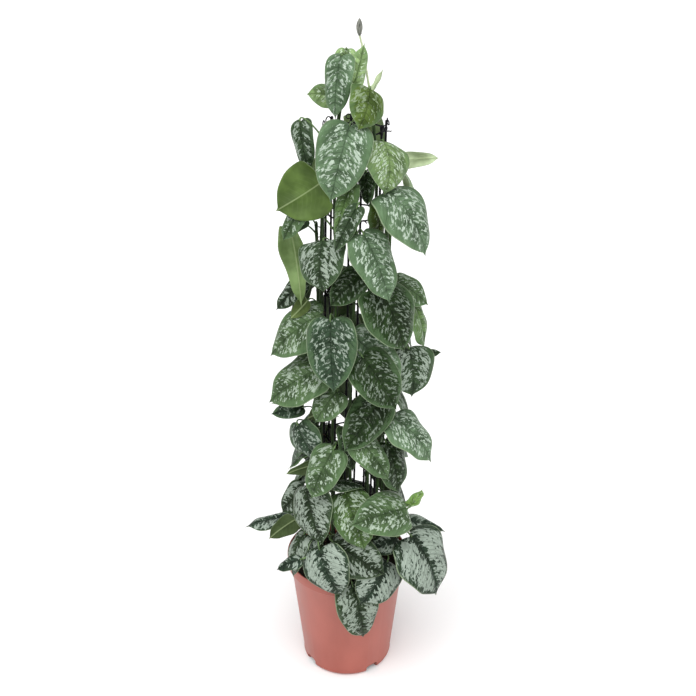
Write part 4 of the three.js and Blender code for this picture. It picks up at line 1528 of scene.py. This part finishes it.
@dataclass(frozen=True)
class Hang:
    """How the leaves of a rule hang from their stem, in mm, degrees and radians."""

    base_radius: float
    tip_radius: float
    drop: float
    side: float
    swing: float
    wide: float
    sag: float

    def leaf(self, azimuth: float, base: float, turn_to: int, draw: Callable[[], float]) -> Row:
        """One leaf that hangs over the one below it.

        Args:
            azimuth: Where the stem stands.
            base: Height of the blade's notch.
            turn_to: 1 or -1, the side of the stem that it turns to.
            draw: Random draws.

        Returns:
            The leaf's row.
        """
        at = azimuth + self.side * turn_to
        tip_at = at + self.swing * turn_to + 10 * (draw() - 0.5)
        start = on_circle(at, self.base_radius + 3 * draw(), base, CAGE.lean_at(base))
        drop = self.drop * (1 + 0.12 * (draw() - 0.5))
        end = on_circle(tip_at, self.tip_radius + 4 * draw(), base - drop, CAGE.lean_at(base))
        roll = 16 * (draw() - 0.5)
        return tuple(start), tuple(end), roll, self.wide - 0.12 * draw(), self.sag, tone_at(base, turn_to)

    def leaves(self, azimuth: float, heights: Sequence[float], seed: int) -> list[Row]:
        """The leaves of a stem, turned to its two sides by turns.

        Args:
            azimuth: Where the stem stands.
            heights: Heights of the notches.
            seed: Where its random draws begin.

        Returns:
            The rows.
        """
        draw = random_draws(seed)
        return [self.leaf(azimuth, z, 1 if i % 2 else -1, draw) for i, z in enumerate(heights)]


SHINGLE = Hang(78, 118, 98, 6, 6, 0.92, 0.4)
SIDE_SHINGLE = Hang(74, 112, 92, 4, 4, 0.9, 0.3)
SKIRT = Hang(126, 164, 70, 0, 8, 1.0, 0.9)


SILVER_BELOW, DENSE_BELOW, FLECKED_BELOW = 380, 520, 1000


def tone_at(z: float, turn_to: int) -> Tone:
    """The usual tone of a leaf at a height: silver low down, then flecked, and fresh at the top.

    Args:
        z: Height in mm.
        turn_to: The side of the stem that it turns to, so that neighbours differ.

    Returns:
        The tone.
    """
    if z < SILVER_BELOW:
        return Tone.SILVER
    if z < DENSE_BELOW:
        return Tone.DENSE if turn_to > 0 else Tone.MOTTLED
    if z < FLECKED_BELOW:
        return Tone.BLUE if turn_to > 0 else Tone.FLECKED
    return Tone.GREEN if turn_to > 0 else Tone.LIGHT


@dataclass
class LeafyStem:
    """A vine that stands in the soil beside the cage, with its stalks, blades and clasping roots."""

    name: str
    azimuth: float
    rows: Sequence[Row]
    shoot: tuple[tuple[float, float, float], ...] = ()
    circle: float = 64.0
    radius: float = 3.0
    foot: float = 156.0
    soil_top: float = 212.0
    step: float = 130.0
    wander: float = 2.0
    gather_from: float = 1096.0
    gather_rate: float = 0.3
    end: float = 8.0
    ring_step: float = 7.0
    swell_width: float = 5.0
    root_radii: tuple[float, ...] = (0.9, 0.75, 0.62, 0.5, 0.25)
    root_shares: tuple[float, ...] = (0, 0.3, 0.55, 0.8, 1.0)
    shoot_steps: int = 20
    furl_length: float = 26.5
    furl_sunk: float = 1.5
    furl_radius: float = 5.2
    furl_overlap: float = 0.16
    furl_steps: int = 22
    leaves: list[Leaf] = field(init=False)

    def __post_init__(self) -> None:
        """Places the leaves, each with a number of its own."""
        draw = random_draws(int(self.azimuth) * 37 + 11)
        self.leaves = [Leaf(row, draw()) for row in self.rows]

    def corner(self, z: float) -> Vector:
        """The middle of the vine at a height: straight up, a little astray on the cage, then inwards.

        Args:
            z: Height in mm.

        Returns:
            The point in mm.
        """
        climb = max(0.0, z - self.soil_top - 20)
        stray = min(1.0, climb / 60) * self.wander
        turn = self.azimuth + stray * math.sin(climb / 83 + self.azimuth)
        gathered = max(0.0, z - self.gather_from) * self.gather_rate
        radius = self.circle + stray * math.sin(climb / 61 + self.azimuth / 2) - gathered
        return on_circle(turn, radius, z, CAGE.lean_at(z))

    def node_height(self, leaf: Leaf) -> float:
        """Height at which a leaf's stalk leaves the vine, in mm."""
        stem = self.corner(leaf.base.z)
        reach = (leaf.base.xy - stem.xy).length
        return max(self.soil_top + 16, leaf.base.z - 12 - 0.4 * reach)

    def line(self) -> list[Vector]:
        """The corners that the vine passes, from its foot to its top.

        Returns:
            The corners in mm.
        """
        top = max(self.node_height(leaf) for leaf in self.leaves) + self.end
        steps = math.ceil((top - self.foot) / self.step)
        return [self.corner(self.foot + (top - self.foot) * i / steps) for i in range(steps + 1)]

    def middle(self, corners: Sequence[Vector], z: float) -> Vector:
        """The middle of the vine at a height.

        Args:
            corners: The corners that it passes.
            z: The height in mm.

        Returns:
            The point in mm.
        """
        return through(corners, (z - corners[0].z) / (corners[-1].z - corners[0].z))

    def vine(self, corners: Sequence[Vector]) -> bmesh.types.BMesh:
        """Makes the vine, swollen at its nodes.

        Args:
            corners: The corners that it passes.

        Returns:
            The vine.
        """
        nodes = [self.node_height(leaf) for leaf in self.leaves]
        bottom, top = corners[0].z, corners[-1].z
        steps = int((top - bottom) / self.ring_step)
        path, radii = [], []
        for i in range(steps + 1):
            z = bottom + (top - bottom) * i / steps
            path.append(self.middle(corners, z))
            swell = sum(math.exp(-(((z - node) / self.swell_width) ** 2)) for node in nodes)
            radii.append(self.radius * (0.9 + 0.22 * min(1.0, swell)))
        round_end(path, radii)
        return sweep(path, radii, 12, Finish.VINE.value)

    def roots(self, corners: Sequence[Vector]) -> list[bmesh.types.BMesh]:
        """Makes the short roots that clasp the cage from each node.

        Args:
            corners: The corners that the vine passes.

        Returns:
            The roots.
        """
        draw = random_draws(int(self.azimuth) + 5)
        roots = []
        for leaf in self.leaves:
            for way in (-1, 1):
                z = self.node_height(leaf) - 3 - 4 * draw()
                start = self.middle(corners, z)
                inward = on_circle(self.azimuth + 180 + way * (20 + 50 * draw()), 1, 0)
                length = 8 + 9 * draw()
                curl = 4 * (draw() - 0.5)
                path = [start + inward * length * t + UP * (curl * t - 5 * t * t) for t in self.root_shares]
                roots.append(sweep(path, self.root_radii, 5, Finish.ROOT.value))
        return roots

    def furled(self, corners: Sequence[Vector]) -> list[bmesh.types.BMesh]:
        """Makes the bare shoot and the furled leaf at its end.

        Args:
            corners: The corners that the vine passes.

        Returns:
            The shoot and the furled leaf.
        """
        points = [corners[-1] - UP * 5, *(Vector(point) for point in self.shoot)]
        steps = self.shoot_steps
        path = [through(points, i / steps) for i in range(steps + 1)]
        stalk = sweep(path, [2.1 - 0.6 * i / steps for i in range(steps + 1)], 8, Finish.SHOOT.value)
        tip = Vector(self.shoot[-1])
        turns = self.furl_steps
        heights = [-self.furl_sunk + self.furl_length * i / turns for i in range(turns + 1)]
        spindle = []
        for i in range(turns + 1):
            closing = min(1.0, i / turns * 0.93 + 0.06)
            spindle.append(max(0.15, self.furl_radius * math.sin(math.pi * closing) ** 0.75))
        bud = sweep([tip + UP * z for z in heights], spindle, 14, Finish.FURLED.value)
        for vert in bud.verts:
            from_axis = Vector((vert.co.x - tip.x, vert.co.y - tip.y, 0))
            angle = math.atan2(from_axis.y, from_axis.x) + (vert.co.z - tip.z) * 0.09
            vert.co += from_axis * self.furl_overlap * ((angle / math.tau) % 1.0 - 0.5)
        return [stalk, bud]

    def build(self, finishes: Sequence[bpy.types.Material]) -> bpy.types.Object:
        """Makes the whole stem as one piece.

        Args:
            finishes: The materials, in the order of Finish.

        Returns:
            The piece.
        """
        corners = self.line()
        parts = [self.vine(corners), *self.roots(corners)]
        for leaf in self.leaves:
            parts.append(leaf.blade())
            parts.append(leaf.stalk(self.middle(corners, self.node_height(leaf))))
        if self.shoot:
            parts += self.furled(corners)
        stem = join_meshes(parts)
        return add_piece(stem, f"vine_{self.name}", "foliage", finishes, f"leafy_stem_{self.name}")


def leafy_stems() -> list[LeafyStem]:
    """Every stem of the plant, from the front round to the back.

    Returns:
        The stems.
    """
    stems = [
        LeafyStem("front", 270, FRONT_LEAVES),
        LeafyStem("front_right", 300, FRONT_RIGHT_LEAVES, SHOOT),
        LeafyStem("front_left", 240, FRONT_LEFT_LEAVES),
        LeafyStem("right_front", 330, RIGHT_FRONT_LEAVES),
        LeafyStem("left_front", 210, LEFT_FRONT_LEAVES),
        LeafyStem("right", 0, [*RIGHT_LEAVES, *SIDE_SHINGLE.leaves(6, RIGHT_SHINGLES, 31)]),
        LeafyStem("left", 180, [*LEFT_LEAVES, *SIDE_SHINGLE.leaves(174, LEFT_SHINGLES, 32)]),
    ]
    for i, (azimuth, shingles, skirt) in enumerate(BACK_STEMS):
        rows = [*SHINGLE.leaves(azimuth, shingles, 101 + i), *SKIRT.leaves(azimuth, [skirt], 201 + i)]
        stems.append(LeafyStem(f"back_{i + 1}", azimuth, rows))
    return stems


# ---- Studio


@dataclass
class Studio:
    """A pale floor, soft white light and the camera, in metres."""

    floor_size: float = 80.0
    image_pixels: float = 696.0
    focal_pixels: float = 1000.0
    sensor_mm: float = 36.0
    camera_at: tuple[float, float, float] = (0.002, -1.637, 1.502)
    camera_pitch: float = 26.0
    sky: float = 0.22
    lamps: tuple[tuple[str, float, float, float, float], ...] = (
        ("front_softlight", -100, 57, 62, 2.8),
        ("right_softlight", -18, 40, 70, 0.75),
        ("left_softlight", 196, 40, 70, 0.6),
        ("back_softlight", 80, 60, 80, 0.6),
    )

    def build(self) -> None:
        """Makes the floor, the lamps, the sky and the camera."""
        bm = bmesh.new()
        bmesh.ops.create_grid(bm, x_segments=8, y_segments=8, size=self.floor_size / 2)
        mesh = bpy.data.meshes.new("paper_floor")
        bm.to_mesh(mesh)
        bm.free()
        mesh.materials.append(WHITE_PAPER.build())
        floor = bpy.data.objects.new("paper_floor", mesh)
        bpy.context.scene.collection.objects.link(floor)
        for row in self.lamps:
            self.lamp(*row)
        world = bpy.data.worlds.new("white_room")
        world.use_nodes = True
        world.node_tree.nodes["Background"].inputs["Color"].default_value = linear("#FFFFFF")
        world.node_tree.nodes["Background"].inputs["Strength"].default_value = self.sky
        bpy.context.scene.world = world
        bpy.context.scene.view_settings.view_transform = "Standard"
        self.camera()

    def lamp(self, name: str, azimuth: float, height: float, spread: float, strength: float) -> None:
        """Adds a broad soft light that falls on all of the floor alike.

        Args:
            name: Its name.
            azimuth: Where it comes from, in degrees from +X towards +Y.
            height: How far above the floor it comes from, in degrees.
            spread: How wide it looks, in degrees.
            strength: Its strength in watts per square metre.
        """
        light = bpy.data.lights.new(name, "SUN")
        light.angle, light.energy = math.radians(spread), strength
        lamp = bpy.data.objects.new(name, light)
        flat = on_circle(azimuth, math.cos(math.radians(height)), math.sin(math.radians(height)))
        lamp.rotation_euler = (-flat).to_track_quat("-Z", "Y").to_euler()
        bpy.context.scene.collection.objects.link(lamp)

    def camera(self) -> None:
        """Adds the camera, which looks down on the plant from a little above its top."""
        lens = bpy.data.cameras.new("camera")
        lens.sensor_width = self.sensor_mm
        lens.lens = self.sensor_mm * self.focal_pixels / self.image_pixels
        camera = bpy.data.objects.new("camera", lens)
        camera.location = self.camera_at
        camera.rotation_euler = (math.radians(90 - self.camera_pitch), 0, 0)
        bpy.context.scene.collection.objects.link(camera)
        bpy.context.scene.camera = camera


def main() -> None:
    """Builds the plant and the studio."""
    logging.basicConfig(level=logging.INFO, format="%(name)s %(message)s")
    Studio().build()
    pot = Pot()
    pot.build()
    PottingMix(pot).build()
    CAGE.build()
    finishes = [
        SatinLeafFace().build(),
        LeafUnderside().build(),
        BLADE_EDGE.build(),
        STALK_SKIN.build(),
        VINE_SKIN.build(),
        ROOT_CORK.build(),
        FURLED_SKIN.build(),
        SHOOT_SKIN.build(),
    ]
    for stem in leafy_stems():
        stem.build(finishes)


if __name__ == "__main__":
    main()
